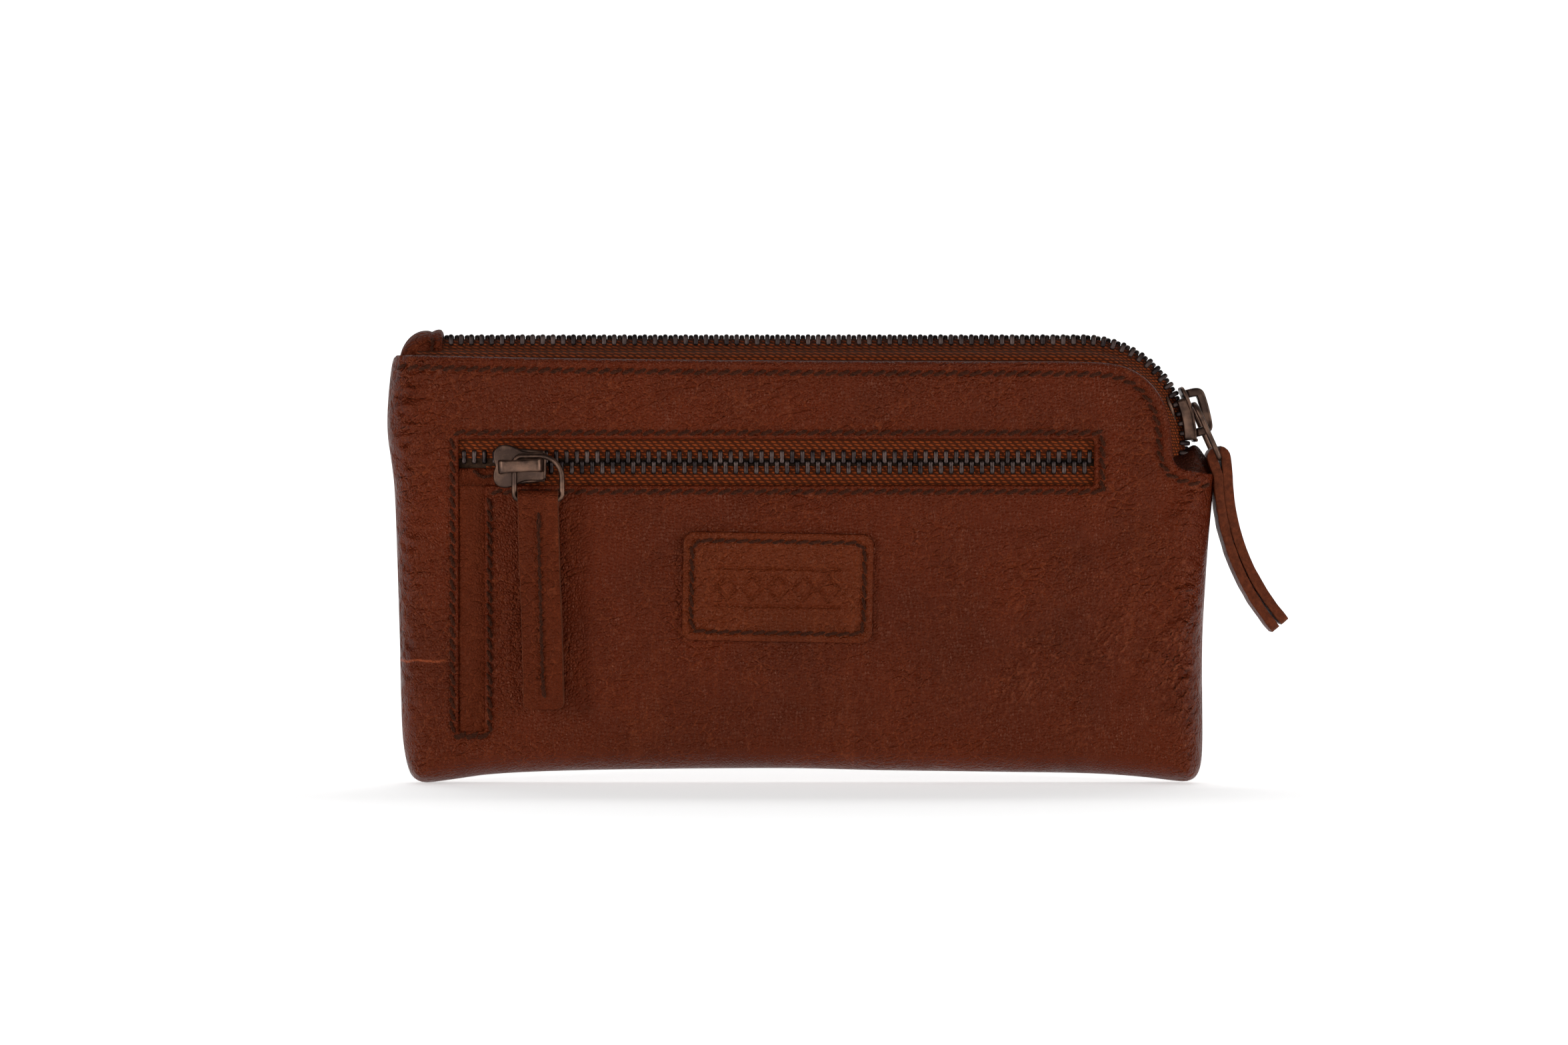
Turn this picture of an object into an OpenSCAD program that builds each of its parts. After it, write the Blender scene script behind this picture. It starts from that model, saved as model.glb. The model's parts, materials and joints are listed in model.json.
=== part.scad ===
// Zippered leather pouch, standing on its base with the front towards -Y.
// The origin is the middle of the base: +X to the viewer's right, +Z up.
// The main zip runs along the top and round the top right corner. Seen from the front, that
// corner is an arc about the "axis" point, and the main slider swings round it.

/* [Body] */
// Width of the pouch near its base
body_w = 198; // [194:1:204]
// Height of the panels at the middle of the top hem
hem_h = 103.4; // [102.8:0.2:104.4]
// Depth of the pouch, front to back
body_d = 18; // [18:0.5:20]
// Radius of the bottom corners seen from the front
corner_r = 6; // [4:0.5:8]
// Radius of the bottom edges seen from the side
edge_r = 5; // [4:0.5:6]
// Thickness of the leather
leather = 1.3; // [1.1:0.1:1.3]
// Thickness of the lining cloth
lining = 0.3; // [0.2:0.1:0.4]

/* [Zips] */
// Height of the outer face of the main chain
chain_top = 110.2; // [110:0.1:111]
// Radius of the main chain's corner, to its outer face
chain_r = 26.2; // [25.8:0.1:26.6]
// Width of a closed chain
chain_w = 5.5; // [5:0.1:6]
// Thickness of a chain
chain_t = 2.2; // [2:0.1:2.3]
// Distance from one tooth to the next in a row
pitch = 2.5; // [2.4:0.1:3]
// Thickness of the zip tape
tape_t = 0.6; // [0.5:0.05:0.7]
// Length of a slider
slider_l = 13; // [12:0.5:13.5]
// Width of a slider
slider_w = 10.6; // [10:0.2:10.8]

/* [Front pocket] */
// Height of the pocket's chain above the base
pocket_z = 78.7; // [77:0.1:80]
// Left end of the pocket's window
window_x0 = -82.8; // [-84:0.2:-82]
// Right end of the pocket's window
window_x1 = 71.6; // [60:0.2:72]
// Height of the window
window_h = 11.1; // [11.1:0.1:12]
// Height of the slot's lower end above the base
slot_z = 13.2; // [12.8:0.2:25]

/* [Label patch] */
// Width of the patch
patch_w = 46.4; // [40:0.2:52]
// Height of the patch
patch_h = 26.6; // [22:0.2:30]

/* [Pulls] */
// Width of a leather pull
pull_w = 9.8; // [9:0.2:10]
// Length of the pocket's pull below its ring
pull_l = 51; // [40:1:58]
// Diameter of the ring wire
wire_d = 1.3; // [1.1:0.1:1.4]

/* [Hidden] */

big = 300;
half_w = body_w / 2;
half_d = body_d / 2;
inner_d = half_d - leather;

// The corner's axis, and the radii and widths of what follows the main chain
axis_x = half_w - 29.5;
axis_z = chain_top - chain_r;
chain_mid = chain_r - chain_t / 2;
chain_end = -12.5;
chain_left = -87.4;
row_w = chain_w / 2;
mesh = 0.25;
tooth_l = 1.15;

// The tape walls lie against the leather; what hangs inside follows towards the back
skin = 0.05;
tape_out = inner_d - skin;
tape_in = tape_out - tape_t;
pocket_y = -(tape_out + tape_in) / 2;
bag_front = -tape_in;
bag_back = -1.9;
bag_x0 = -85;
bag_x1 = window_x1 + 2.4;
bag_z0 = 12;
bag_z1 = 90;
lining_front = -1.7;
lining_back = tape_in - 0.1;
lining_drop = 6;

// Outline of the panels seen from the front
notch = [axis_x + 23.8, 77.8];
notch_out = [half_w + 2.6, 75.2];
left_bulge = [-half_w - 2.3, 86];
left_top = [-half_w - 0.7, hem_h + 1.6];
right_mid = [half_w + 0.4, 47];
side_lean = (notch_out[0] - right_mid[0]) / (notch_out[1] - right_mid[1]);
left_mid = [-half_w, 58];
plan_right = half_w - 5.5;
plan_left = -half_w + 7;

// Pocket, slot and stitching
window_z0 = pocket_z - window_h / 2;
slot_x0 = -83.4;
slot_x1 = -76.9;
welt_w = 5.6;
stitch_l = 2.2;
stitch_w = 0.5;
stitch_t = 0.4;
stitch_step = 3;

// Sliders, crowns, rings and pulls
slider_mid = 14.3;
plate_t = 0.9;
gap_t = 0.6;
crown_w = 3;
crown_t = 1.2;
crown_leg = 1.4;
crown_l = 11.3;
tunnel = 2.9;
loop_clear = 0.3;
wire_r = wire_d / 2;
loop_r = wire_r + loop_clear;
ring_in = pull_w / 2 + 0.25;
slider_x = -68.2;
pocket_front = -half_d - 0.2;
ring_y = pocket_front - plate_t - wire_r - 1.3;
ring_bar_z = 69.6;
ring_top_z = 81.4;
ring_left = -69.4;
ring_leg = ring_in + wire_r;
main_pivot = [96.6, 92.9];
main_bar = [102.5, 79.8];

function arc(c, r, a0, a1, n) = [for (i = [0 : n]) let (a = a0 + (a1 - a0) * i / n) c + r * [cos(a), sin(a)]];
function hem_r(a) = a > 50 ? 22.2 - 3.0 * pow((a - 50) / 40, 2) : 22.2;
function bezier(p, q, s, t) = pow(1 - t, 2) * p + 2 * t * (1 - t) * q + t * t * s;

// Lower part of the outline, from the left side round the base to the right side, inset by d
// and lowered by drop at its right end
function base_outline(d, drop) = concat(
  [left_mid + [d, 0]],
  arc([-half_w + 1.4 + corner_r, corner_r], corner_r - d, 180, 270, 6),
  arc([half_w - 0.1 - corner_r, corner_r], corner_r - d, 270, 360, 6),
  [right_mid - [d, 0], notch_out - [d + drop * side_lean, drop]]
);

// The hem, from the notch round the corner and along the top, lowered by drop
function hem_line(drop) = concat(
  [notch - [drop, drop]],
  [for (a = [-8 : 7 : 90]) [axis_x, axis_z] + (hem_r(a) - drop) * [cos(a), sin(a)]],
  [[0, hem_h - drop]]
);

function panel_outline(d, drop) = concat(
  base_outline(d, drop),
  hem_line(drop),
  [left_top + [d, -drop], left_bulge + [d, 0]]
);

function open_outline(d) = concat(
  base_outline(d, 0),
  [[notch_out[0] - d, big], [left_top[0] + d, big], left_top + [d, 0], left_bulge + [d, 0]]
);

// Outline seen from the side, and plan seen from above, both inset by d
function side_outline(d) = concat(
  [[-half_d + d, big]],
  arc([-half_d + edge_r, edge_r], edge_r - d, 180, 270, 5),
  arc([half_d - edge_r, edge_r], edge_r - d, 270, 360, 5),
  [[half_d - d, big]]
);

function plan_outline(d) = concat(
  [for (a = [-90 : 15 : 90]) [plan_right + (notch_out[0] - plan_right - d) * cos(a), (half_d - d) * sin(a)]],
  [for (a = [90 : 15 : 270]) [plan_left + (plan_left - left_bulge[0] - d) * cos(a), (half_d - d) * sin(a)]]
);

// Solid of the pouch's form inside a front outline, inset by d at the edges, sides and base
module form(outline, d) {
  intersection() {
    rotate([90, 0, 0]) linear_extrude(height = 60, center = true) polygon(outline);
    rotate([90, 0, 90]) linear_extrude(height = big, center = true) polygon(side_outline(d));
    linear_extrude(height = big, center = true) polygon(plan_outline(d));
  }
}

// A box given by two opposite corners
module block(p, q) {
  translate(p) cube(q - p);
}

// Local frame on the main zip: +X away from the axis at angle a, +Z along the chain
module around(a) {
  translate([axis_x, 0, axis_z]) rotate([0, -a, 0]) children();
}

// Sweeps a section of [radius, distance in front of the middle] round the corner
module corner_sweep(section, a0, a1) {
  translate([axis_x, 0, axis_z]) rotate([90, 0, 0]) rotate([0, 0, a0])
    rotate_extrude(angle = a1 - a0, $fn = 96) polygon(section);
}

// Sweeps the same section along the straight top, from the corner to x
module top_sweep(section, x) {
  around(90) mirror([0, 1, 0]) linear_extrude(height = axis_x - x) polygon(section);
}

module leather_half() {
  difference() {
    form(panel_outline(0, 0), 0);
    form(open_outline(leather), leather);
    block([-big, 0, -big], [big, big, big]);
  }
}

module front_panel() {
  color("#5c2410") difference() {
    leather_half();
    block([window_x0, -half_d - 1, window_z0], [window_x1, -half_d + 4, window_z0 + window_h]);
    block([slot_x0, -half_d - 1, slot_z], [slot_x1, -half_d + 4, window_z0 + 1]);
  }
}

module back_panel() {
  color("#5c2410") mirror([0, 1, 0]) leather_half();
}

// A lining tray: a sheet whose outer face is at y0, with walls along the sides and base to the middle
module lining_tray(y0) {
  out = leather + 0.15;
  difference() {
    intersection() {
      form(panel_outline(out, lining_drop), out);
      block([-big, y0, -big], [big, 0, big]);
    }
    intersection() {
      form(open_outline(out + lining), out + lining);
      block([-big, y0 + lining, -big], [big, big, big]);
    }
  }
}

module front_lining() {
  color("#3a2a20") lining_tray(lining_front);
}

module back_lining() {
  color("#3a2a20") mirror([0, 1, 0]) lining_tray(-lining_back);
}

// The zipped pocket's bag: a front sheet up to the zip, a back sheet behind it, and an edge strip between
module pocket_bag_front() {
  color("#3a2a20") block([bag_x0, bag_front, bag_z0], [bag_x1, bag_front + lining, window_z0 - 1]);
}

module pocket_bag_back() {
  color("#3a2a20") block([bag_x0, bag_back - lining, bag_z0], [bag_x1, bag_back, bag_z1]);
}

module pocket_bag_edge() {
  color("#3a2a20") difference() {
    block([bag_x0, bag_front + lining, bag_z0], [bag_x1, bag_back - lining, bag_z1]);
    block([bag_x0 + lining, -big, bag_z0 + lining], [bag_x1 - lining, big, bag_z1 - lining]);
  }
}

// The flat bag behind the upright slot
module slip_bag() {
  sheet = 0.2;
  x1 = -15;
  z1 = 63.5;
  color("#3a2a20") difference() {
    block([slot_x0 - 0.5, -tape_out, slot_z], [x1, bag_front - 0.05, z1]);
    block([slot_x0 - 0.3, -tape_out + sheet, slot_z + sheet], [x1 - sheet, bag_front - 0.05 - sheet, z1 - sheet]);
    block([slot_x0, -tape_out - 1, slot_z + sheet], [slot_x1 - welt_w, -tape_out + sheet + 0.1, z1 - sheet]);
  }
}

// Folded strip that fills all of the slot but a narrow gap on its left
module slot_welt() {
  color("#652a14") block([slot_x1 - welt_w, -half_d + 0.3, slot_z], [slot_x1, -inner_d, window_z0 - 1]);
}

// A plate with round corners, flat on the front panel, centred on x and z
module rounded_plate(w, h, r, t) {
  rotate([90, 0, 0]) linear_extrude(height = t) polygon(concat(
    arc([w / 2 - r, h / 2 - r], r, 0, 90, 4),
    arc([r - w / 2, h / 2 - r], r, 90, 180, 4),
    arc([r - w / 2, r - h / 2], r, 180, 270, 4),
    arc([w / 2 - r, r - h / 2], r, 270, 360, 4)
  ));
}

module on_patch() {
  translate([-5.4, 0, 48.2]) rotate([0, 1, 0]) children();
}

module label_patch() {
  color("#7a3317") on_patch() translate([0, -half_d, 0]) rounded_plate(patch_w, patch_h, 2.4, 1.2);
}

// Section of the main tape: a strip beside the teeth, a slope to the leather and a wall behind the hem
tape_section = [
  [chain_mid + tape_t / 2, row_w], [chain_mid + tape_t / 2, 3.2], [19.9, tape_out], [11, tape_out],
  [11, tape_in], [19.6, tape_in], [chain_mid - tape_t / 2, 3.0], [chain_mid - tape_t / 2, row_w]
];
tail_section = [
  [chain_mid + tape_t / 2, 0.4], [chain_mid + tape_t / 2, 3.2],
  [chain_mid - tape_t / 2, 3.2], [chain_mid - tape_t / 2, 0.4]
];

module main_tape() {
  corner_sweep(tape_section, chain_end, 90);
  top_sweep(tape_section, chain_left);
  translate([chain_left - axis_x, 0, 0]) top_sweep(tail_section, axis_x - 6.4);
}

module main_tape_front() {
  color("#8a4a26") main_tape();
}

module main_tape_back() {
  color("#8a4a26") mirror([0, 1, 0]) main_tape();
}

// One tooth of the front row, at the local origin of a chain
module tooth() {
  translate([-chain_t / 2, -row_w, -tooth_l / 2]) cube([chain_t, row_w + mesh, tooth_l]);
}

module main_row(shift) {
  step = pitch / chain_mid * 180 / PI;
  for (a = [90 - shift * step : -step : chain_end + step / 4]) around(a) translate([chain_mid, 0, 0]) tooth();
  for (s = [pitch * (1 - shift) : pitch : axis_x - chain_left - 1])
    around(90) translate([chain_mid, 0, s]) tooth();
}

module main_teeth_front() {
  color("#6b5a48") main_row(0);
}

module main_teeth_back() {
  color("#6b5a48") mirror([0, 1, 0]) main_row(0.5);
}

// Folded leather over the chain's left end, open underneath and to the right
module zip_tab_left() {
  color("#652a14") difference() {
    block([-96.3, -4.8, 101.5], [-87.5, 4.8, 111.1]);
    block([-95, -3.5, 101], [-87, 3.5, 111.1 - leather]);
  }
}

// Folded leather under the chain's lower end, inside the notch
module zip_tab_right() {
  color("#3c170b") difference() {
    block([half_w - 5, -3.6, 72.4], [half_w + 0.2, 3.6, 76.4]);
    block([half_w - 3.7, -2.4, 72], [half_w - 1.1, 2.4, 75.1]);
  }
}

// The crown: an arch over a tunnel, rising along -Y, with feet that reach down to y = foot
module crown(foot) {
  l = crown_l / 2;
  top = tunnel + crown_t;
  translate([0, 0, -crown_w / 2]) linear_extrude(height = crown_w) difference() {
    polygon(concat(
      [[l, foot], [-l, foot]],
      arc([1.8 - l, 1.8 - top], 1.8, 180, 270, 5),
      arc([l - 1.8, 1.8 - top], 1.8, 270, 360, 5)
    ));
    polygon(concat(
      [[l - crown_leg, foot + 1], [crown_leg - l, foot + 1]],
      arc([crown_leg + 0.7 - l, 0.7 - tunnel], 0.7, 180, 270, 3),
      arc([l - crown_leg - 0.7, 0.7 - tunnel], 0.7, 270, 360, 3)
    ));
  }
}

module main_slider_body() {
  half_a = slider_l / 2 / chain_mid * 180 / PI;
  a0 = slider_mid - half_a;
  a1 = slider_mid + half_a;
  top = chain_r + gap_t;
  color("#5a4a3c") {
    for (side = [0, 1]) mirror([0, side, 0]) {
      corner_sweep([[top, 0], [top + plate_t, 0], [top + plate_t, slider_w / 2 - 0.6],
        [top + plate_t - 0.5, slider_w / 2], [top - 0.9, slider_w / 2 - 0.4], [top - 0.9, 3.4], [top, 3.4]], a0, a1);
      corner_sweep([[chain_r - chain_t - gap_t - plate_t, 0], [chain_r - chain_t - gap_t, 0],
        [chain_r - chain_t - gap_t, 3.3], [chain_r - chain_t - gap_t - plate_t, 3.3]], a0, a1);
    }
  }
}

module main_slider_crown() {
  seat = chain_r + gap_t + plate_t;
  color("#6b5a48") difference() {
    around(slider_mid) translate([seat, 0, 0]) rotate([0, 0, 90]) rotate([0, -90, 0]) crown(1);
    translate([axis_x, 0, axis_z]) rotate([90, 0, 0]) cylinder(r = seat, h = 20, center = true, $fn = 96);
  }
}

// A closed wire ring in the XZ plane, from the origin (middle of its upper bar) down to z = -h.
// r holds its corner radii: upper right, upper left, lower left and lower right
module wire_ring(w, h, r) {
  module corner(x, z, a, r) {
    translate([x, 0, z]) rotate([90, 0, 0]) rotate([0, 0, a])
      rotate_extrude(angle = 90, $fn = 48) translate([r, 0]) circle(d = wire_d, $fn = 24);
  }
  module leg(x, top, low) {
    translate([x, 0, low - h]) cylinder(d = wire_d, h = h - top - low, $fn = 24);
  }
  module bar(z, left, right) {
    translate([left - w / 2, 0, z]) rotate([0, 90, 0]) cylinder(d = wire_d, h = w - left - right, $fn = 24);
  }
  bar(0, r[1], r[0]);
  bar(-h, r[2], r[3]);
  leg(-w / 2, r[1], r[2]);
  leg(w / 2, r[0], r[3]);
  corner(w / 2 - r[0], -r[0], 0, r[0]);
  corner(r[1] - w / 2, -r[1], 90, r[1]);
  corner(r[2] - w / 2, r[2] - h, 180, r[2]);
  corner(w / 2 - r[3], r[3] - h, 270, r[3]);
}

// The main ring hangs from the crown's tunnel to the bar that holds the pull
module main_ring() {
  reach = main_bar - main_pivot;
  lean = atan2(reach[0], -reach[1]);
  color("#77685a") translate([main_pivot[0], 0, main_pivot[1]]) rotate([0, -lean, 0]) rotate([0, 0, 90])
    wire_ring(2 * ring_leg, norm(reach), [1.2, 1.2, 1.2, 1.2]);
}

// Centre line of the main pull, which leans outwards and curls towards its tip
function pull_line(t) = bezier(main_bar + [1.0, -1], [102.9, 56], [117.6, 38.8], t);
function pull_half(t) = 1.5 + 1.1 * t;
function pull_edge(t, side) = let (
  d = pull_line(t + 0.01) - pull_line(t - 0.01)
) pull_line(t) + side * pull_half(t) * [-d[1], d[0]] / norm(d);

// Folded leather pull on the main ring, edge on to the front
module main_pull() {
  n = 12;
  color("#652a14") rotate([90, 0, 0]) difference() {
    linear_extrude(height = pull_w, center = true) union() {
      translate(main_bar) circle(r = loop_r + leather, $fn = 32);
      polygon(concat(
        [for (i = [0 : n]) pull_edge(i / n, 1)],
        [for (i = [n : -1 : 0]) pull_edge(i / n, -1)]
      ));
    }
    translate(concat(main_bar, [0])) cylinder(r = loop_r, h = pull_w + 2, center = true, $fn = 32);
  }
}

// Half of the pocket zip's tape, from the teeth to h above the chain's middle
module pocket_tape(x0, h) {
  block([x0, pocket_y - tape_t / 2, row_w], [window_x1 + 2.4, pocket_y + tape_t / 2, h]);
}

module pocket_tape_upper() {
  color("#8a4a26") translate([0, 0, pocket_z]) pocket_tape(-85, 14);
}

module pocket_tape_lower() {
  color("#8a4a26") translate([0, 0, pocket_z]) mirror([0, 0, 1]) pocket_tape(slot_x1 + 0.4, 14.4);
}

// A row of teeth from x0 to the window's right end
module pocket_row(x0, shift) {
  for (x = [window_x1 - 1 - shift * pitch : -pitch : x0])
    translate([x, pocket_y, 0]) rotate([0, 90, 0]) rotate([0, 0, 90]) tooth();
}

module pocket_teeth_upper() {
  color("#6b5a48") translate([0, 0, pocket_z]) mirror([0, 0, 1]) pocket_row(window_x0 + 1, 0);
}

module pocket_teeth_lower() {
  color("#6b5a48") translate([0, 0, pocket_z]) pocket_row(slot_x1 + 1.4, 0.5);
}

// Outline of a slider's plate: two round lobes to the left and a round nose to the right
function slider_outline(l, w) = concat(
  arc([-l / 2 + 2.6, w / 2 - 2.6], 2.6, 90, 190, 6),
  arc([-l / 2 + 2.6, 2.6 - w / 2], 2.6, 170, 270, 6),
  arc([l / 2 - 2.4, 2.4 - w / 2 + 0.7], 2.4, 285, 360, 5),
  arc([l / 2 - 2.4, w / 2 - 0.7 - 2.4], 2.4, 0, 75, 5)
);

module pocket_slider_body() {
  back = pocket_y + chain_t / 2 + gap_t;
  color("#5a4a3c") translate([slider_x, 0, pocket_z]) rotate([90, 0, 0]) {
    translate([0, 0, -pocket_front]) linear_extrude(height = plate_t)
      polygon(slider_outline(slider_l, slider_w));
    for (side = [0, 1]) mirror([0, side, 0])
      translate([-3.5, 3.4, -pocket_front - 1]) cube([9, 1.1, 1]);
    translate([0, 0, -back - plate_t]) linear_extrude(height = plate_t)
      polygon(slider_outline(slider_l, slider_w - 1.4));
  }
}

module pocket_slider_crown() {
  color("#6b5a48") translate([slider_x + 0.3, pocket_front - plate_t, pocket_z]) crown(0);
}

module pocket_ring() {
  color("#77685a") translate([ring_left + ring_leg, ring_y, ring_top_z])
    wire_ring(2 * ring_leg, ring_top_z - ring_bar_z, [4.8, 1.6, 1.2, 1.2]);
}

// Folded leather pull that hangs in front of the panel
module pocket_pull() {
  x = ring_left + ring_leg;
  leaf = leather + 0.1;
  color("#652a14") translate([x, ring_y, ring_bar_z]) {
    difference() {
      union() {
        rotate([0, 90, 0]) cylinder(r = loop_r + leather, h = pull_w, center = true, $fn = 32);
        translate([0, leaf, -pull_l / 2]) rounded_plate(pull_w, pull_l, 1.5, 2 * leaf);
      }
      rotate([0, 90, 0]) cylinder(r = loop_r, h = pull_w + 2, center = true, $fn = 32);
    }
  }
}

// One stitch on a plane facing -Y, its middle at [x, z], its run at angle a from +X
module stitch(x, z, a) {
  translate([x, -stitch_t / 2, z]) rotate([0, 12 - a, 0]) cube([stitch_l, stitch_t, stitch_w], center = true);
}

module stitch_row(p, q) {
  run = q - p;
  n = max(1, floor(norm(run) / stitch_step));
  for (i = [0 : n - 1]) let (c = p + run * (i + 0.5) / n) stitch(c[0], c[1], atan2(run[1], run[0]));
}

module stitch_loop(points) {
  n = len(points);
  for (i = [0 : n - 1]) stitch_row(points[i], points[(i + 1) % n]);
}

// The hem's row follows the hem 2.6 mm inside its edge
module hem_row() {
  in = 2.6;
  r = hem_r(0) - in;
  step = stitch_step / r * 180 / PI;
  stitch_row([-half_w + 7, hem_h + 1.5 - in], [axis_x - 1, hem_h - 0.3 - in]);
  for (a = [-8 : step : 88]) let (p = [axis_x, axis_z] + (hem_r(a) - in) * [cos(a), sin(a)])
    stitch(p[0], p[1], a + 90);
}

module hem_stitching_front() {
  color("#2a120a") translate([0, -half_d, 0]) hem_row();
}

module hem_stitching_back() {
  color("#2a120a") mirror([0, 1, 0]) translate([0, -half_d, 0]) hem_row();
}

module pocket_stitching() {
  x0 = window_x0 - 1.5;
  x1 = window_x1 + 2.1;
  z0 = window_z0 - 1.9;
  z1 = window_z0 + window_h + 1.6;
  color("#2a120a") translate([0, -half_d, 0]) {
    stitch_row([x0, z1], [x1, z1]);
    stitch_row([x1, z1 - 1], [x1, z0 + 1]);
    stitch_row([slot_x1 + 1, z0], [x1, z0]);
  }
}

module slot_stitching() {
  x0 = window_x0 - 1.5;
  x1 = slot_x1 + 0.8;
  color("#2a120a") translate([0, -half_d, 0]) {
    stitch_row([x0, window_z0 + window_h], [x0, slot_z]);
    stitch_row([x1, window_z0 - 4], [x1, slot_z]);
    stitch_row([x0 + 0.5, slot_z - 0.8], [x1, slot_z - 0.8]);
  }
}

module patch_stitching() {
  a = patch_w / 2 - 2.2;
  b = patch_h / 2 - 2.2;
  color("#2a120a") on_patch() translate([0, -half_d - 1.2, 0]) stitch_loop([[-a, b], [a, b], [a, -b], [-a, -b]]);
}

module pull_stitching() {
  x = ring_left + ring_leg;
  color("#2a120a") translate([x, ring_y - leather - 0.1, 0])
    stitch_row([0, ring_bar_z - 3.5], [0, ring_bar_z - pull_l + 3]);
}

front_panel();
back_panel();
front_lining();
back_lining();
pocket_bag_front();
pocket_bag_back();
pocket_bag_edge();
slip_bag();
slot_welt();
label_patch();
main_tape_front();
main_tape_back();
main_teeth_front();
main_teeth_back();
zip_tab_left();
zip_tab_right();
main_slider_body();
main_slider_crown();
main_ring();
main_pull();
pocket_tape_upper();
pocket_tape_lower();
pocket_teeth_upper();
pocket_teeth_lower();
pocket_slider_body();
pocket_slider_crown();
pocket_ring();
pocket_pull();
hem_stitching_front();
hem_stitching_back();
pocket_stitching();
slot_stitching();
patch_stitching();
pull_stitching();
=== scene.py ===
import json
import math

import bmesh
import bpy
import numpy as np
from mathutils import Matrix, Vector
from mathutils.geometry import delaunay_2d_cdt

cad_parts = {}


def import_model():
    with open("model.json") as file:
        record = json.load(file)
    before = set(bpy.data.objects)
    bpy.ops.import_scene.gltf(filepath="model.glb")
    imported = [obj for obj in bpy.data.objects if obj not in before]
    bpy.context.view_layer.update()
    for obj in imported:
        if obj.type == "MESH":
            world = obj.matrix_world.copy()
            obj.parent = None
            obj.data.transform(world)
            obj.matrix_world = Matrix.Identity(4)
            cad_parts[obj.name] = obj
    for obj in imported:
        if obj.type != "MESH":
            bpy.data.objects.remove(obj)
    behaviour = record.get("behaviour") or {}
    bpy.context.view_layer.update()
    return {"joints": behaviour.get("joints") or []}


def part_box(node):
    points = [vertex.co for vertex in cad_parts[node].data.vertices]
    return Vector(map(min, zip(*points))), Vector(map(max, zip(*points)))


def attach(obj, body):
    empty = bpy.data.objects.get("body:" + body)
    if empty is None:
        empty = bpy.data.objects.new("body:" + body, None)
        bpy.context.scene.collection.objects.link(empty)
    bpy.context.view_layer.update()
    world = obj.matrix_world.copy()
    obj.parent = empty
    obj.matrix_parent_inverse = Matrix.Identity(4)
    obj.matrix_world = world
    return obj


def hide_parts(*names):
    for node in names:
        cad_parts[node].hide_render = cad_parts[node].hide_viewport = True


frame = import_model()

# Lengths in this script are millimetres in the row frame: +X right, -Y to the viewer, +Z up.
MM = 0.001
RANDOM = np.random.default_rng(11)


def box(node):
    """Lowest and highest corner of a CAD node, in millimetres."""
    return [np.array(corner) * 1000 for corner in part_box(node)]


def joint_at(name):
    """A joint's (x, z) place, in millimetres."""
    joint = next(j for j in frame["joints"] if j["name"] == name)
    return np.array([joint["pos_m"][0], joint["pos_m"][2]]) * 1000


# ---------------------------------------------------------------- sizes read from the frame
PANEL_LOW, PANEL_HIGH = box("front_panel")
FACE_Y = PANEL_LOW[1]
DEPTH = -FACE_Y
LEATHER = 1.3  # its thickness
AXIS = joint_at("main_zip")  # the middle of the corner's arc
MAIN_PIVOT, MAIN_BAR = joint_at("main_ring_hinge"), joint_at("main_pull_hinge")
SLIDER_AT = math.radians(14.3)  # the main slider's place round the arc
CHAIN_LOW, CHAIN_HIGH = box("main_teeth_front")
CHAIN_TOP = CHAIN_HIGH[2]
CHAIN_T = 2.2  # its thickness
CHAIN_MID = CHAIN_TOP - AXIS[1] - CHAIN_T / 2  # the arc's radius to the middle of the chain
ROW_W = -CHAIN_LOW[1]  # from the middle to a row's outer edge
PITCH = 2.5  # from tooth to tooth in a row
TAPE_LOW = box("main_tape_front")[0]
TAPE_OUT = -TAPE_LOW[1]
TOP_RUN = AXIS[0] - TAPE_LOW[0]  # the chain's straight top, up to the arc
CHAIN_END = TOP_RUN + CHAIN_MID * math.radians(102.5)
POCKET_LOW, POCKET_HIGH = box("pocket_teeth_upper")
POCKET_Y = (POCKET_LOW[1] + POCKET_HIGH[1]) / 2
POCKET_Z = sum(box("pocket_slider_body"))[2] / 2
WINDOW = (-83.1, 71.6, POCKET_Z - 5.55, POCKET_Z + 5.55)  # x0, x1, z0, z1 of the zip's opening
SLOT_X1 = -76.9
SLOT_Z = box("slot_welt")[0][2]


# ---------------------------------------------------------------- mesh tools
def grid_faces(rows, cols, wrap=False):
    """Four-sided faces of a grid of rows by cols points; wrap joins each row's end to its start."""
    r = np.arange(rows - 1)[:, None] * cols
    c = np.arange(cols if wrap else cols - 1)[None, :]
    n = (c + 1) % cols
    return np.stack([r + c, r + n, r + cols + n, r + cols + c], -1).reshape(-1, 4)


def tube_faces(rows, m):
    """Faces of a closed tube of rows rings of m points each, with both its ends filled."""
    return [grid_faces(rows, m, True), np.arange(m)[None], (rows - 1) * m + np.arange(m)[None, ::-1]]


def folded_faces(rows, m):
    """Faces of a sheet whose rows of m points run out along one side and back along the other."""
    i = np.arange(m // 2 - 1)
    ends = [k * m + np.stack([i, i + 1, m - 2 - i, m - 1 - i], 1) for k in (0, rows - 1)]
    return [grid_faces(rows, m, True)] + ends


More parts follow.
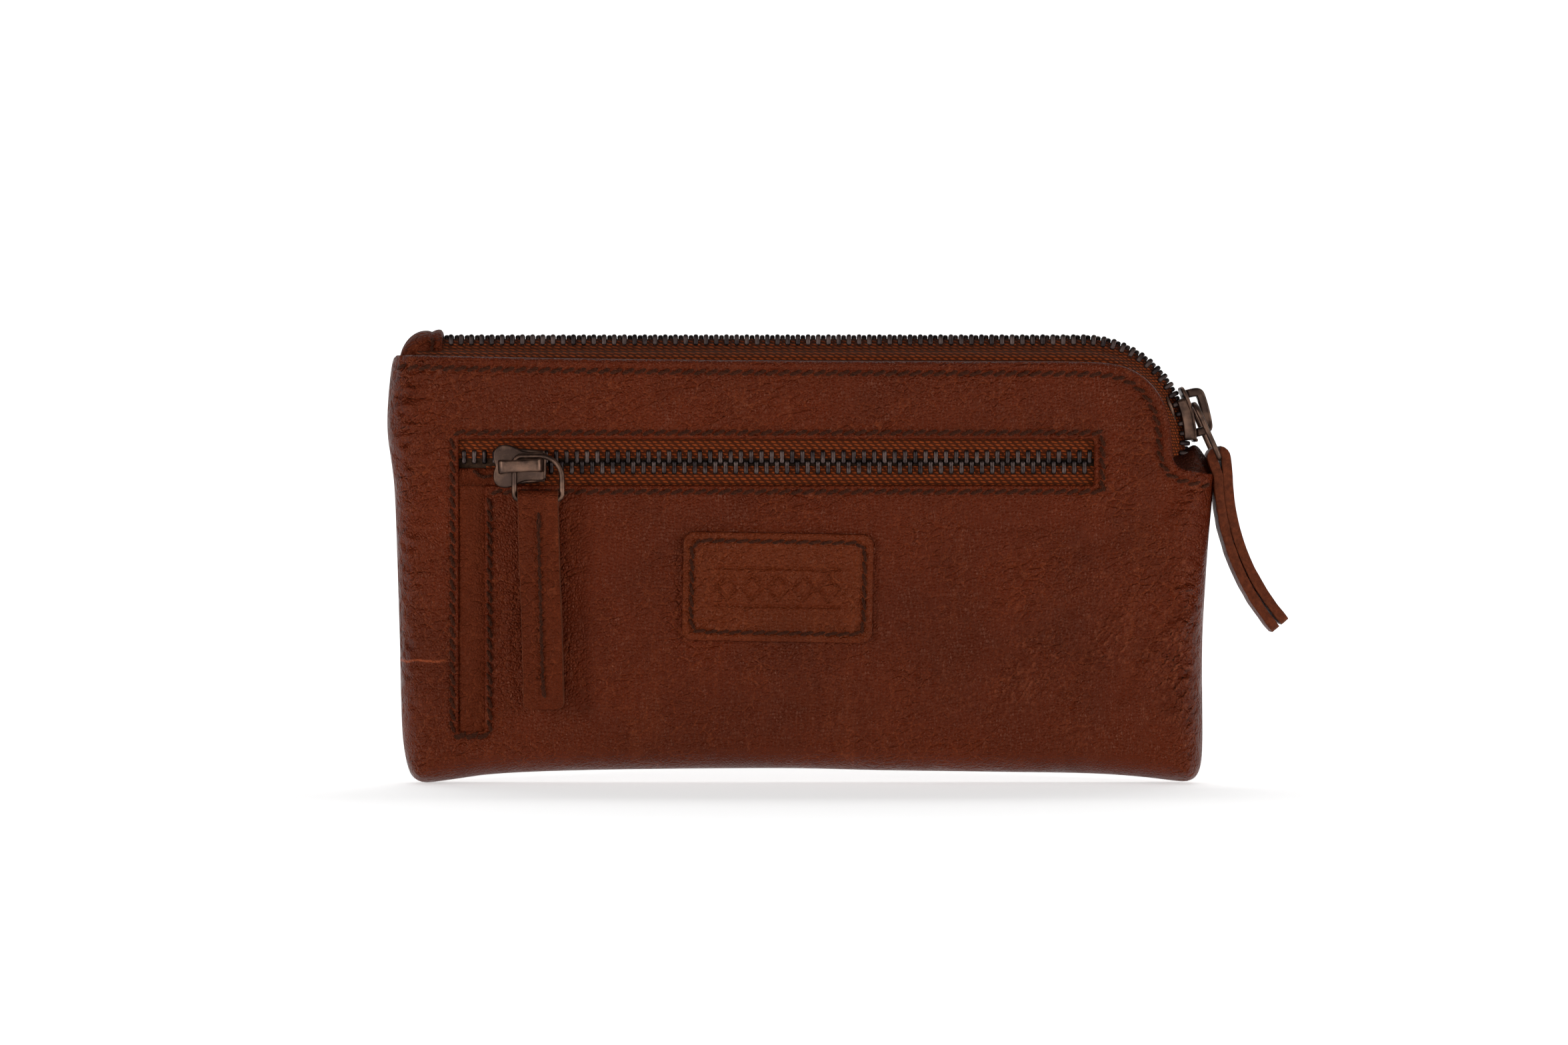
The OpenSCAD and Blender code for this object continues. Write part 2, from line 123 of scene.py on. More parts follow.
class Shape:
    """Gathers vertices and faces, then makes one mesh object of them."""

    def __init__(self):
        self.points, self.groups, self.count = [], [], 0

    def add(self, points, faces, finish=0):
        points = np.asarray(points, float).reshape(-1, 3)
        for group in faces if isinstance(faces, list) else [faces]:
            self.groups.append((np.asarray(group, np.int64) + self.count, finish))
        self.points.append(points)
        self.count += len(points)
        return self

    def copies(self, points, faces, places, finish=0):
        """Adds one copy of a small mesh for each 3 x 4 placement matrix."""
        points = np.asarray(points, float).reshape(-1, 3)
        places = np.asarray(places, float)
        moved = np.einsum("nij,mj->nmi", places[:, :, :3], points) + places[:, None, :, 3]
        offset = (np.arange(len(places)) * len(points))[:, None, None]
        faces = faces if isinstance(faces, list) else [faces]
        spread = [(np.asarray(f)[None] + offset).reshape(-1, np.shape(f)[1]) for f in faces]
        return self.add(moved, spread, finish)

    def build(self, name, body, slot, materials, replaces=(), marks=None):
        """Makes the mesh object; marks are the vertex attributes that the materials read."""
        points = np.concatenate(self.points) * MM
        mesh = bpy.data.meshes.new(name)
        mesh.vertices.add(len(points))
        mesh.vertices.foreach_set("co", points.ravel())
        loops = np.concatenate([g.ravel() for g, _ in self.groups])
        sizes = np.concatenate([np.full(len(g), g.shape[1]) for g, _ in self.groups])
        finishes = np.concatenate([np.full(len(g), f) for g, f in self.groups])
        mesh.loops.add(len(loops))
        mesh.loops.foreach_set("vertex_index", loops)
        mesh.polygons.add(len(sizes))
        mesh.polygons.foreach_set("loop_start", np.concatenate([[0], np.cumsum(sizes)[:-1]]))
        mesh.polygons.foreach_set("material_index", finishes)
        mesh.update(calc_edges=True)
        work = bmesh.new()
        work.from_mesh(mesh)
        bmesh.ops.recalc_face_normals(work, faces=work.faces[:])
        work.to_mesh(mesh)
        work.free()
        mesh.polygons.foreach_set("use_smooth", np.full(len(sizes), True))
        for material in materials:
            mesh.materials.append(material)
        for key, at in (marks or {}).items():
            mark = mesh.attributes.new(key, "FLOAT", "POINT")
            mark.data.foreach_set("value", at(points / MM).astype(np.float32))
        piece = bpy.data.objects.new(name, mesh)
        bpy.context.scene.collection.objects.link(piece)
        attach(piece, body)
        if replaces:
            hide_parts(*replaces)
        return piece


def unit(v):
    """Vectors made one long."""
    v = np.asarray(v, float)
    return v / np.maximum(np.linalg.norm(v, axis=-1, keepdims=True), 1e-12)


def resample(points, step, closed=False):
    """Points at equal steps along a line."""
    p = np.asarray(points, float)
    if closed:
        p = np.concatenate([p, p[:1]])
    s = np.concatenate([[0], np.cumsum(np.linalg.norm(np.diff(p, axis=0), axis=1))])
    n = max(2, int(round(s[-1] / step)) + 1)
    at = np.linspace(0, s[-1], n)
    out = np.stack([np.interp(at, s, p[:, k]) for k in range(p.shape[1])], 1)
    return out[:-1] if closed else out


def rounded(points, rounds=3, closed=False):
    """Cuts a line's corners again and again, so that it runs smoothly; ends stay."""
    p = np.asarray(points, float)
    for _ in range(rounds):
        q = np.roll(p, -1, 0) if closed else p[1:]
        a = p if closed else p[:-1]
        cut = np.stack([0.75 * a + 0.25 * q, 0.25 * a + 0.75 * q], 1).reshape(-1, p.shape[1])
        p = cut if closed else np.concatenate([p[:1], cut[1:-1], p[-1:]])
    return p


def arc(cx, cz, r, a0, a1, n):
    """Points on an arc of n steps about (cx, cz), from a0 to a1 degrees."""
    a = np.radians(np.linspace(a0, a1, n + 1))
    return np.stack([cx + r * np.cos(a), cz + r * np.sin(a)], 1)


def round_section(w, h, r, n=3):
    """A rectangle w by h with round corners, as points round its edge."""
    x, y = w / 2 - r, h / 2 - r
    corners = [(x, y, 0), (-x, y, 90), (-x, -y, 180), (x, -y, 270)]
    return np.concatenate([arc(cx, cy, r, a, a + 90, n) for cx, cy, a in corners])


def sweep(path, section, up, closed=False):
    """A section of (across, up) points carried along a path."""
    path = np.asarray(path, float)
    n = len(path)
    run = np.roll(path, -1, 0) - np.roll(path, 1, 0) if closed else np.gradient(path, axis=0)
    run = unit(run)
    side = unit(np.cross(np.broadcast_to(np.asarray(up, float), (n, 3)), run))
    top = np.cross(run, side)
    section = np.broadcast_to(section, (n,) + np.shape(section)[-2:])
    m = section.shape[1]
    points = path[:, None] + section[..., :1] * side[:, None] + section[..., 1:] * top[:, None]
    faces = [grid_faces(n + 1, m, True) % (n * m)] if closed else tube_faces(n, m)
    return points.reshape(-1, 3), faces


def tube(path, radius, sides=8, closed=False):
    """A round wire along a path; radius is one number, or one for each point."""
    a = np.linspace(0, 2 * math.pi, sides, endpoint=False)
    circle = np.stack([np.cos(a), np.sin(a)], 1)
    radius = np.broadcast_to(np.asarray(radius, float).reshape(-1, 1, 1), (len(path), 1, 1))
    return sweep(path, circle * radius, (0, 1, 0.01), closed)


def inset(outline, d):
    """A closed counter-clockwise outline moved inwards by d."""
    run = unit(np.roll(outline, -1, 0) - np.roll(outline, 1, 0))
    return outline + d * np.stack([-run[:, 1], run[:, 0]], 1)


def plate(outline, y0, y1, bevel, steps=3):
    """A flat plate of an (x, z) outline between y0 and y1, both its faces' edges rounded by bevel."""
    turn = np.linspace(0, math.pi / 2, steps + 1)
    front = [(bevel * (1 - math.sin(a)), y0 + bevel * (1 - math.cos(a))) for a in turn]
    back = [(d, y0 + y1 - y) for d, y in reversed(front)]
    rings = []
    for d, y in front + back:
        ring = inset(outline, d)
        rings.append(np.stack([ring[:, 0], np.full(len(ring), y), ring[:, 1]], 1))
    return np.concatenate(rings), tube_faces(len(rings), len(outline))


def value_noise(x, z, cell, seed):
    """Smooth noise from -1 to 1 with features about cell wide."""
    table = np.random.default_rng(seed).uniform(-1, 1, (64, 64))
    u, v = np.asarray(x, float) / cell + 500, np.asarray(z, float) / cell + 500
    i, j = np.floor(u).astype(int), np.floor(v).astype(int)
    a, b = u - i, v - j
    a, b = a * a * (3 - 2 * a), b * b * (3 - 2 * b)

    def at(p, q):
        return table[p % 64, q % 64]

    low = at(i, j) * (1 - a) + at(i + 1, j) * a
    high = at(i, j + 1) * (1 - a) + at(i + 1, j + 1) * a
    return low * (1 - b) + high * b


def distance(x, z, line, weights=None):
    """Least distance from each point to a polyline's close-set points, each divided by its weight."""
    p = np.stack([np.ravel(x), np.ravel(z)], 1)
    best = np.full(len(p), 1e9)
    for k in range(0, len(line), 64):
        d = np.linalg.norm(p[:, None] - line[None, k:k + 64], axis=2)
        if weights is not None:
            d = d / weights[None, k:k + 64]
        best = np.minimum(best, d.min(1))
    return best.reshape(np.shape(x))


def inside(points, outline):
    """Which (x, z) points lie inside a closed outline."""
    x, z = points[:, 0], points[:, 1]
    hit = np.zeros(len(points), bool)
    for a, b in zip(outline, np.roll(outline, -1, 0)):
        crosses = (a[1] > z) != (b[1] > z)
        if crosses.any():
            at = a[0] + (z - a[1]) / (b[1] - a[1] if b[1] != a[1] else 1e-9) * (b[0] - a[0])
            hit ^= crosses & (x < at)
    return hit


# ---------------------------------------------------------------- the pouch's outline and its surface
# Right side from the notch down, round the base and up the left side: the seam, with its rounding radius.
SEAM_POINTS = [
    (101.7, 74.8, 8), (101.0, 67, 8), (100.3, 60, 8), (99.4, 47, 8), (98.7, 34, 8), (98.8, 20, 8),
    (98.9, 11, 8), (98.6, 4.6, 7), (97.4, 1.6, 6), (95.6, 0.5, 5), (93.5, 0.35, 5), (84, 1.6, 5.5),
    (71, 2.5, 6), (45, 2.8, 6), (16, 3.2, 6), (0, 3.7, 6), (-25, 3.6, 6), (-55, 3.2, 6), (-75, 2.4, 6),
    (-84, 1.1, 5.5), (-91.0, 0.1, 5), (-93.4, 0.3, 5), (-95.4, 1.8, 5.5), (-96.5, 4.6, 7), (-97.6, 11, 8.5),
    (-98.0, 22, 9), (-98.2, 33.8, 9), (-99.0, 59.7, 9), (-99.5, 72.7, 9), (-100.3, 79, 9.3),
    (-101.4, 86, 9.3), (-101.2, 94, 9.3), (-100.3, 102.5, 9.3), (-99.7, 104.4, 9.3),
]
# The hole in the front, for the pocket's zip and the upright slot under its left end.
HOLE = [
    (WINDOW[0], WINDOW[3]), (WINDOW[1], WINDOW[3]), (WINDOW[1], WINDOW[2]), (SLOT_X1, WINDOW[2]),
    (SLOT_X1, SLOT_Z), (WINDOW[0], SLOT_Z),
]
HEM_ROW = 3.0  # from the hem's edge to its stitches
SEAM_GAP = 0.12  # from either panel to the middle plane, along the seam
HEM_TOP = PANEL_HIGH[2] - 1.6
# The open edge from the right side through the notch, round the corner and left.
HEM_POINTS = [
    (101.6, 75.6), (98.6, 76.1), (95.4, 76.6), (93.0, 77.2), (91.4, 78.2), (90.7, 79.8), (90.6, 82.5),
    (90.3, 87), (89.6, 90.6), (88.3, 94.0), (86.2, 97.3), (82.8, 100.3), (79.6, 101.9), (75.8, 102.8),
    (70, 103.2), (55, HEM_TOP - 0.1), (0, HEM_TOP), (-60, HEM_TOP + 0.6), (-98.6, HEM_TOP + 1.5),
]


def hem_line(d=0.0):
    """The open edge, moved inwards by d."""
    line = resample(rounded(HEM_POINTS, 2), 1.0)
    run = unit(np.gradient(line, axis=0))
    moved_in = line + d * np.stack([-run[:, 1], run[:, 0]], 1)
    return rounded(moved_in, 1)


def lengths(path):
    """How far along a path each of its points is."""
    return np.concatenate([[0], np.cumsum(np.linalg.norm(np.diff(path, axis=0), axis=1))])


SEAM_LINE = rounded(SEAM_POINTS, 2)
SEAM = resample(SEAM_LINE[:, :2], 1.0)
SEAM_RUN = lengths(SEAM_LINE[:, :2])
SEAM_R = np.interp(np.linspace(0, SEAM_RUN[-1], len(SEAM)), SEAM_RUN, SEAM_LINE[:, 2])
HEM = resample(hem_line(), 1.0)
OUTLINE = np.concatenate([HEM, SEAM[::-1][:-1]])
HOLE_EDGE = resample(HOLE, 1.0, True)
PATCH_MIDDLE = np.array([-5.4, 48.2])


def patchy(p, seed):
    """0 to 1 in soft patches over the panels."""
    return np.clip(0.55 + 0.9 * value_noise(p[:, 0], p[:, 2], 11, seed), 0, 1)


def slanted_strain_and_glint(p):
    """Where the grain is drawn into slanting beads, towards the lower right; the same mark places the painted
    highlights (pale glints) on the beads' centres.
    """
    x, z = p[:, 0], p[:, 2]
    main = np.exp(-((x - 66) / 17) ** 2 - ((z - 31) / 15) ** 2)
    side = np.exp(-((x - 93) / 5) ** 2 - ((z - 32) / 30) ** 2)
    base = 0.3 * np.exp(-((x - 30) / 40) ** 2 - ((z - 20) / 14) ** 2)
    return np.clip(main + side + base, 0, 1) * patchy(p, 51)


def level_strain(p):
    """Where it is drawn into level wrinkles: along the rounded sides."""
    left, right = np.exp(-((p[:, 0] + 96) / 5) ** 2), 0.9 * np.exp(-((p[:, 0] - 94) / 4) ** 2)
    return np.clip(left + right, 0, 1) * patchy(p, 52)


STRAIN = {"slanted": slanted_strain_and_glint, "level": level_strain}


def seam_share(x, z):
    """0 on the seam, 1 where the face is full depth."""
    return np.clip(distance(x, z, SEAM, SEAM_R), 0, 1)


def line_fold(p, line, width, depth):
    """A soft groove (depth above 0) or ridge (below 0) along a line, fading out at its ends."""
    near = np.full(len(p), 1e9)
    share = np.zeros(len(p))
    low, high = line.min(0) - 3 * width, line.max(0) + 3 * width
    close = ((p > low) & (p < high)).all(1)
    d = np.linalg.norm(p[close][:, None] - line[None], axis=2)
    if len(d):
        near[close] = d.min(1)
        share[close] = d.argmin(1) / (len(line) - 1)
    fade = np.sin(math.pi * np.clip(share * 0.92 + 0.04, 0, 1)) ** 0.7
    return depth * fade * np.exp(-(near / width) ** 2)


# Creases in the front, the deepest in its lower right: (points, width, depth).
FRONT_FOLDS = [
    ([(97, 62), (84, 52), (70, 33), (62, 20)], 2.1, 0.6),
    ([(98, 48), (88, 40), (78, 26), (74, 12)], 1.8, 0.5),
    ([(96, 34), (88, 26), (84, 14)], 1.4, 0.45),
    ([(92, 70), (80, 62), (62, 56), (44, 54)], 2.1, 0.5),
    ([(66, 44), (54, 34), (46, 20), (44, 10)], 1.9, 0.60),
    ([(90, 58), (78, 44), (70, 26), (68, 8)], 1.8, -0.83),
    ([(96, 42), (86, 32), (80, 18)], 1.4, -0.75),
    ([(56, 50), (44, 36), (36, 18)], 2.6, -0.52),
    ([(30, 66), (46, 62), (64, 64)], 1.4, 0.45),
    ([(24, 30), (38, 22), (52, 16)], 1.8, 0.45),
    ([(-50, 62), (-40, 40), (-42, 18)], 3.2, 0.28),
    ([(-34, 24), (-10, 19), (18, 22)], 3.0, 0.3),
    ([(-64, 30), (-48, 12), (-30, 8)], 2.6, 0.3),
    ([(-72, 62), (-70, 40), (-72, 20)], 2.4, -0.3),
    ([(-40, 99), (-38, 92), (-41, 87)], 1.0, 0.22),
    ([(12, 99), (13, 93), (11, 88)], 0.9, 0.22),
    ([(-8, 98), (-9, 91), (-7, 87)], 0.8, 0.18),
    ([(44, 98), (46, 92), (43, 88)], 1.0, 0.22),
    ([(-66, 98), (-64, 91), (-66, 87)], 0.9, 0.2),
    ([(-99, 80), (-93, 78), (-87, 78.5)], 1.0, 0.3),
    ([(-99, 66), (-94, 64.5), (-88, 65.5)], 0.9, 0.25),
    ([(-98, 55), (-93, 54), (-87, 55.5)], 1.0, 0.28),
    ([(-98, 43), (-93, 42.5), (-88, 44)], 0.9, 0.25),
    ([(-97, 30.5), (-92, 29.8), (-86, 30.4)], 0.6, 0.3),
    ([(-97, 18), (-92, 17), (-87, 18.5)], 0.9, 0.25),
    ([(90, 96), (86, 90), (88, 84)], 1.2, 0.2),
    ([(76, 90), (80, 80), (78, 70)], 2.2, 0.3),
]


def drawn_folds(count, seed, low, high, run, lean):
    """Fine wrinkles strewn over a region, all about run long and leaning the same way."""
    rng = np.random.default_rng(seed)
    folds = []
    for _ in range(count):
        start = rng.uniform(low, high)
        a = math.radians(lean + rng.normal(0, 14))
        step = np.array([math.cos(a), math.sin(a)]) * run * rng.uniform(0.5, 1.2)
        bend = np.array([-step[1], step[0]]) * rng.uniform(-0.2, 0.2)
        depth = rng.uniform(0.1, 0.24) * rng.choice([1, 1, -0.8])
        folds.append(([start, start + step / 2 + bend, start + step], rng.uniform(0.55, 1.1), depth))
    return folds


FRONT_FOLDS += drawn_folds(46, 3, (30, 8), (95, 60), 13, 56)
FRONT_FOLDS += drawn_folds(16, 4, (-97, 10), (-90, 98), 7, 4)
FRONT_FOLDS += drawn_folds(18, 5, (-70, 6), (28, 32), 12, 20)
FRONT_FOLDS += drawn_folds(14, 6, (-80, 87), (66, 93), 6, 84)
BACK_FOLDS = drawn_folds(40, 7, (-88, 8), (84, 90), 16, 50) + [
    ([(-90, 60), (-60, 50), (-30, 54)], 3.0, 0.5), ([(-20, 20), (20, 30), (60, 24)], 3.4, 0.55),
    ([(20, 80), (50, 66), (86, 62)], 3.0, 0.5), ([(-80, 20), (-56, 30), (-40, 50)], 3.0, 0.45),
    ([(60, 50), (76, 36), (88, 16)], 2.6, 0.55), ([(-10, 88), (0, 70), (-6, 52)], 2.6, -0.4),
]


def ready(folds):
    """Folds with their corners rounded off and their points close-set."""
    return [(resample(rounded(points, 2), 0.7), width, depth) for points, width, depth in folds]


FRONT_FOLDS, BACK_FOLDS = ready(FRONT_FOLDS), ready(BACK_FOLDS)


def groove(d, at, width, depth):
    """A soft line so deep, at a distance from an edge; d is each point's distance from it."""
    return depth * np.exp(-((d - at) / width) ** 2)


def round_over(d, reach, drop):
    """How far an edge has rounded away at a distance d from it, within its reach."""
    return drop * (1 - np.sqrt(1 - (1 - np.clip(d / reach, 0, 1)) ** 2))


MOST_OUTWARD = 0.45  # so that the pocket's pull passes in front


def face_relief(x, z, back=False):
    """How far the leather stands in from its full depth at (x, z)."""
    hem = distance(x, z, HEM)
    flat = np.stack([np.ravel(x), np.ravel(z)], 1)
    folds = BACK_FOLDS if back else FRONT_FOLDS
    inward = sum(line_fold(flat, *fold) for fold in folds).reshape(np.shape(x))
    from_patch = np.maximum(np.abs(x - PATCH_MIDDLE[0]) / 24, np.abs(z - PATCH_MIDDLE[1]) / 14)
    calm = np.clip((from_patch - 0.9) / 0.4, 0.12, 1)
    seed = 40 if back else 20
    sway = 0.35 * value_noise(x, z, 38, seed) + 0.16 * value_noise(x, z, 13, seed + 1)
    sway += 0.05 * value_noise(x, z, 4.5, seed + 2)
    inward = np.maximum(inward * calm + sway * calm, -MOST_OUTWARD)
    near_edge = np.clip(hem / 9, 0, 1)
    if not back:
        near_edge = np.minimum(near_edge, np.clip(distance(x, z, HOLE_EDGE) / 5, 0, 1))
    inward = inward * (0.25 + 0.75 * near_edge)
    inward += groove(hem, HEM_ROW, 0.6, 0.22)
    inward -= groove(hem, 1.3, 0.95, 0.5)
    inward += round_over(hem, 0.6, 0.5)
    if not back:
        hole = distance(x, z, HOLE_EDGE)
        inward += groove(hole, 1.6, 0.55, 0.18)
        inward -= groove(hole, 0.75, 0.5, 0.2)
        inward += round_over(hole, 0.6, 0.55)
    return inward


def face_y(x, z, back=False):
    """The y of the panel's outer face at (x, z), below 0 on the front and above 0 on the back."""
    x, z = np.asarray(x, float), np.asarray(z, float)
    share = seam_share(x, z)
    full = np.sqrt(np.clip(1 - (1 - share) ** 2, 0, 1))
    y = SEAM_GAP + (DEPTH - SEAM_GAP - face_relief(x, z, back)) * full
    return y if back else -y


def area(line):
    """Signed area of a closed outline, above 0 where it runs counter-clockwise."""
    n = np.roll(line, -1, 0)
    return 0.5 * float((line[:, 0] * n[:, 1] - n[:, 0] * line[:, 1]).sum())


def fill(outline, holes, step, rings):
    """Triangles that fill an outline, close-set in rings near its edges: (flat points, faces)."""
    points, edges, loose = [], [], []
    for k, line in enumerate([outline] + list(holes)):
        first = len(points)
        points.extend(map(tuple, line))
        edges.extend((first + i, first + (i + 1) % len(line)) for i in range(len(line)))
        turned = line if (area(line) > 0) == (k == 0) else line[::-1]
        loose += [inset(turned, d) for d in rings if k == 0 or d < 3]
    edge = np.concatenate([outline] + list(holes))
    low, high = outline.min(0), outline.max(0)
    gx, gz = np.meshgrid(np.arange(low[0], high[0], step), np.arange(low[1], high[1], step * 0.87))
    gx = gx + (np.arange(len(gz)) % 2)[:, None] * step / 2
    grid = np.stack([gx.ravel(), gz.ravel()], 1) + RANDOM.uniform(-0.12, 0.12, (gx.size, 2)) * step
    grid = grid[distance(grid[:, 0], grid[:, 1], edge) > rings[-1] + 0.4 * step]
    loose = np.concatenate(loose)
    loose = loose[distance(loose[:, 0], loose[:, 1], edge) > rings[0] * 0.8]
    loose = np.concatenate([loose, grid])
    points.extend(map(tuple, loose[within(loose, outline, holes)]))
    out = delaunay_2d_cdt([Vector(p) for p in points], edges, [], 0, 1e-4)
    flat = np.array([tuple(p) for p in out[0]])
    faces = np.array([f for f in out[2] if len(f) == 3])
    faces = faces[within(flat[faces].mean(1), outline, holes)]
    used, faces = np.unique(faces, return_inverse=True)
    return flat[used], faces.reshape(-1, 3)


def within(points, outline, holes):
    """Which points lie inside the outline and outside its holes."""
    keep = inside(points, outline)
    for hole in holes:
        keep &= ~inside(points, hole)
    return keep


def vertex_normals(points, faces):
    """Each point's unit normal, from the triangles round it."""
    corner = points[faces[:, 0]]
    n = np.cross(points[faces[:, 1]] - corner, points[faces[:, 2]] - corner)
    total = np.zeros_like(points)
    for k in range(3):
        np.add.at(total, faces[:, k], n)
    return unit(total)


def slab(outline, holes, surface, thickness, back=False, step=1.0, rings=(0.25, 0.6, 1.05, 1.6, 2.3, 3.1, 4),
         bulge=0.22, seam=None):
    """A closed skin over an outline: its outer face from surface(x, z), its inner face, and round edges."""
    flat, faces = fill(outline, holes, step, rings)
    outer = np.stack([flat[:, 0], surface(flat[:, 0], flat[:, 1]), flat[:, 1]], 1)
    normal = vertex_normals(outer, faces)
    if (normal[:, 1].mean() > 0) != back:
        normal = -normal
    inner = outer - normal * thickness
    if seam is not None:
        inner[:, 1] = np.maximum(inner[:, 1], 0.02) if back else np.minimum(inner[:, 1], -0.02)
    e = np.concatenate([faces[:, [0, 1]], faces[:, [1, 2]], faces[:, [2, 0]]])
    _, first, count = np.unique(np.sort(e, 1), axis=0, return_index=True, return_counts=True)
    a, b = e[first[count == 1]].T
    rim = np.unique(np.concatenate([a, b]))
    out = np.zeros_like(outer)
    way = np.cross(outer[b] - outer[a], normal[a])
    np.add.at(out, a, way)
    np.add.at(out, b, way)
    out = unit(out[rim])
    wrong = within((outer[rim] + 0.2 * out)[:, [0, 2]], outline, holes)
    out[wrong] *= -1
    if seam is not None:
        out[distance(outer[rim, 0], outer[rim, 2], seam) < 0.6] = 0
    n, m = len(outer), len(rim)
    place = np.zeros(n, int)
    place[rim] = np.arange(m)
    points, chain = [outer, inner], [np.arange(n)]
    for k, t in enumerate((0.25, 0.5, 0.75)):
        points.append(outer[rim] * (1 - t) + inner[rim] * t + bulge * math.sin(math.pi * t) * out)
        chain.append(2 * n + k * m + place)
    chain.append(np.arange(n) + n)
    strips = [np.stack([chain[k][a], chain[k][b], chain[k + 1][b], chain[k + 1][a]], 1) for k in range(4)]
    shape = Shape().add(np.concatenate(points), [faces, faces[:, ::-1] + n], 0)
    shape.groups += [(strip, 1) for strip in strips]
    return shape


# ---------------------------------------------------------------- stitches
def strand():
    """One stitch, x from -0.5 to 0.5, above y = 0: two thin yarns twisted together, sunk at its ends."""
    t = np.linspace(-0.5, 0.5, 9)
    rise = 0.6 * np.cos(math.pi * t * 0.98) ** 0.5 - 0.2
    points, faces, count = [], [], 0
    for phase in (0, math.pi):
        turn = 2 * math.pi * 1.1 * t + phase
        path = np.stack([t, rise + 0.15 * np.cos(turn), 0.18 * np.sin(turn)], 1)
        path[:, 0] *= 3
        p, f = tube(path, 0.23 * np.array([0.6, 0.95, 1, 1, 1, 1, 1, 0.95, 0.6]), 6)
        points.append(p / [3, 1, 1])
        faces += [g + count for g in f]
        count += len(p)
    return np.concatenate(points), faces


STRAND = strand()


def stitch_places(line, surface, out, step=2.9, slant=13.0, size=1.0):
    """Placements of stitches along an (x, z) line on a surface; out is -1 on a front, 1 on a back."""
    line = resample(line, step)
    m, run = (line[:-1] + line[1:]) / 2, np.diff(line, axis=0)
    x, z, e = m[:, 0], m[:, 1], 0.3
    y = surface(x, z)
    dx = (surface(x + e, z) - surface(x - e, z)) / (2 * e)
    dz = (surface(x, z + e) - surface(x, z - e)) / (2 * e)
    normal = unit(np.stack([-dx, 1 + 0 * dx, -dz], 1)) * out
    along = unit(np.stack([run[:, 0], dx * run[:, 0] + dz * run[:, 1], run[:, 1]], 1))
    side = np.cross(along, normal)
    a = math.radians(slant)
    x_axis = along * math.cos(a) - side * math.sin(a)
    z_axis = np.cross(x_axis, normal)
    length = np.linalg.norm(run, axis=1, keepdims=True) * 1.02
    return np.stack([x_axis * length, normal * size, z_axis * size, np.stack([x, y, z], 1)], -1)


PANEL_SLANT, PANEL_SIZE = 22, 1.15


def panel_stitches(name, lines, material, node, back=False):
    """Rows of thick stitches on a panel's face."""
    rows = Shape()
    for line in lines:
        rows.copies(*STRAND, stitch_places(line, lambda x, z: face_y(x, z, back), 1 if back else -1,
                                           slant=PANEL_SLANT, size=PANEL_SIZE))
    rows.build(name, "pouch", "thread", [material], (node,))


# ---------------------------------------------------------------- the zips
def chain_frame(u):
    """The main chain at a run u from its left end: its outward and forward unit vectors, and the centre."""
    u = np.asarray(u, float)
    a = np.pi / 2 - np.clip(u - TOP_RUN, 0, None) / CHAIN_MID
    zero = np.zeros_like(a)
    out = np.stack([np.cos(a), zero, np.sin(a)], -1)
    forward = np.stack([np.sin(a), zero, -np.cos(a)], -1)
    centre = np.stack([AXIS[0] - np.clip(TOP_RUN - u, 0, None), zero, zero + AXIS[1]], -1)
    return out, forward, centre


def on_chain(u, r, y):
    """A point at radius r about the axis and y across the chain."""
    out, _, centre = chain_frame(u)
    zero = 0 * out[..., 0]
    return centre + out * np.asarray(r)[..., None] + np.stack([zero, y + zero, zero], -1)


def weave(u, v):
    """Relief of zip tape: a run u along it, v from the teeth outwards."""
    knit = np.zeros(np.broadcast(u, v).shape)
    for k, at in enumerate((2.1, 3.0, 3.9)):
        lean = 0.55 if k % 2 else -0.55
        loop = 0.5 + 0.5 * np.cos(2 * math.pi * (u / 1.25 + lean * (v - at)))
        knit += np.exp(-((v - at) / 0.36) ** 2) * (0.07 + 0.2 * loop)
    weft = 0.09 * np.cos(2 * math.pi * (u + 0.5 * v) / 0.9) * np.cos(2 * math.pi * v / 0.8)
    return knit + weft


def tape_shape(place, section, u0, u1):
    """A tape about 0.5 thick: place(u, a, b) maps a run and the section's plane to the frame."""
    line = resample(rounded(section, 3), 0.26)
    run = unit(np.gradient(line, axis=0))
    normal = np.stack([-run[:, 1], run[:, 0]], 1)
    u = np.arange(u0, u1, 0.3)
    high = weave(u[:, None], lengths(line)[None])
    top = line[None] + normal[None] * high[..., None]
    under = np.broadcast_to((line - normal * 0.5)[::-1], (len(u), len(line), 2))
    both = np.concatenate([top, under], 1)
    points = place(np.broadcast_to(u[:, None], both.shape[:2]), both[..., 0], both[..., 1])
    return points.reshape(-1, 3), tube_faces(*both.shape[:2])


def main_tape(node, side, material):
    """One half's tape, from under the teeth down into the pouch; side is -1 in front, 1 behind."""
    r = CHAIN_MID - 0.75
    section = [(0.6, r + 0.7), (ROW_W - 1.3, r + 0.2), (ROW_W - 0.2, r - 0.9), (ROW_W + 0.9, r - 1.9),
               (TAPE_OUT - 1.3, 21.3), (TAPE_OUT - 0.2, 19.6), (TAPE_OUT - 0.2, 12)]
    part = tape_shape(lambda u, a, b: on_chain(u, b, side * a), section, 0.2, CHAIN_END + 1.4)
    Shape().add(*part).build(node + "_cloth", "pouch", "zip_tape", [material], (node,))


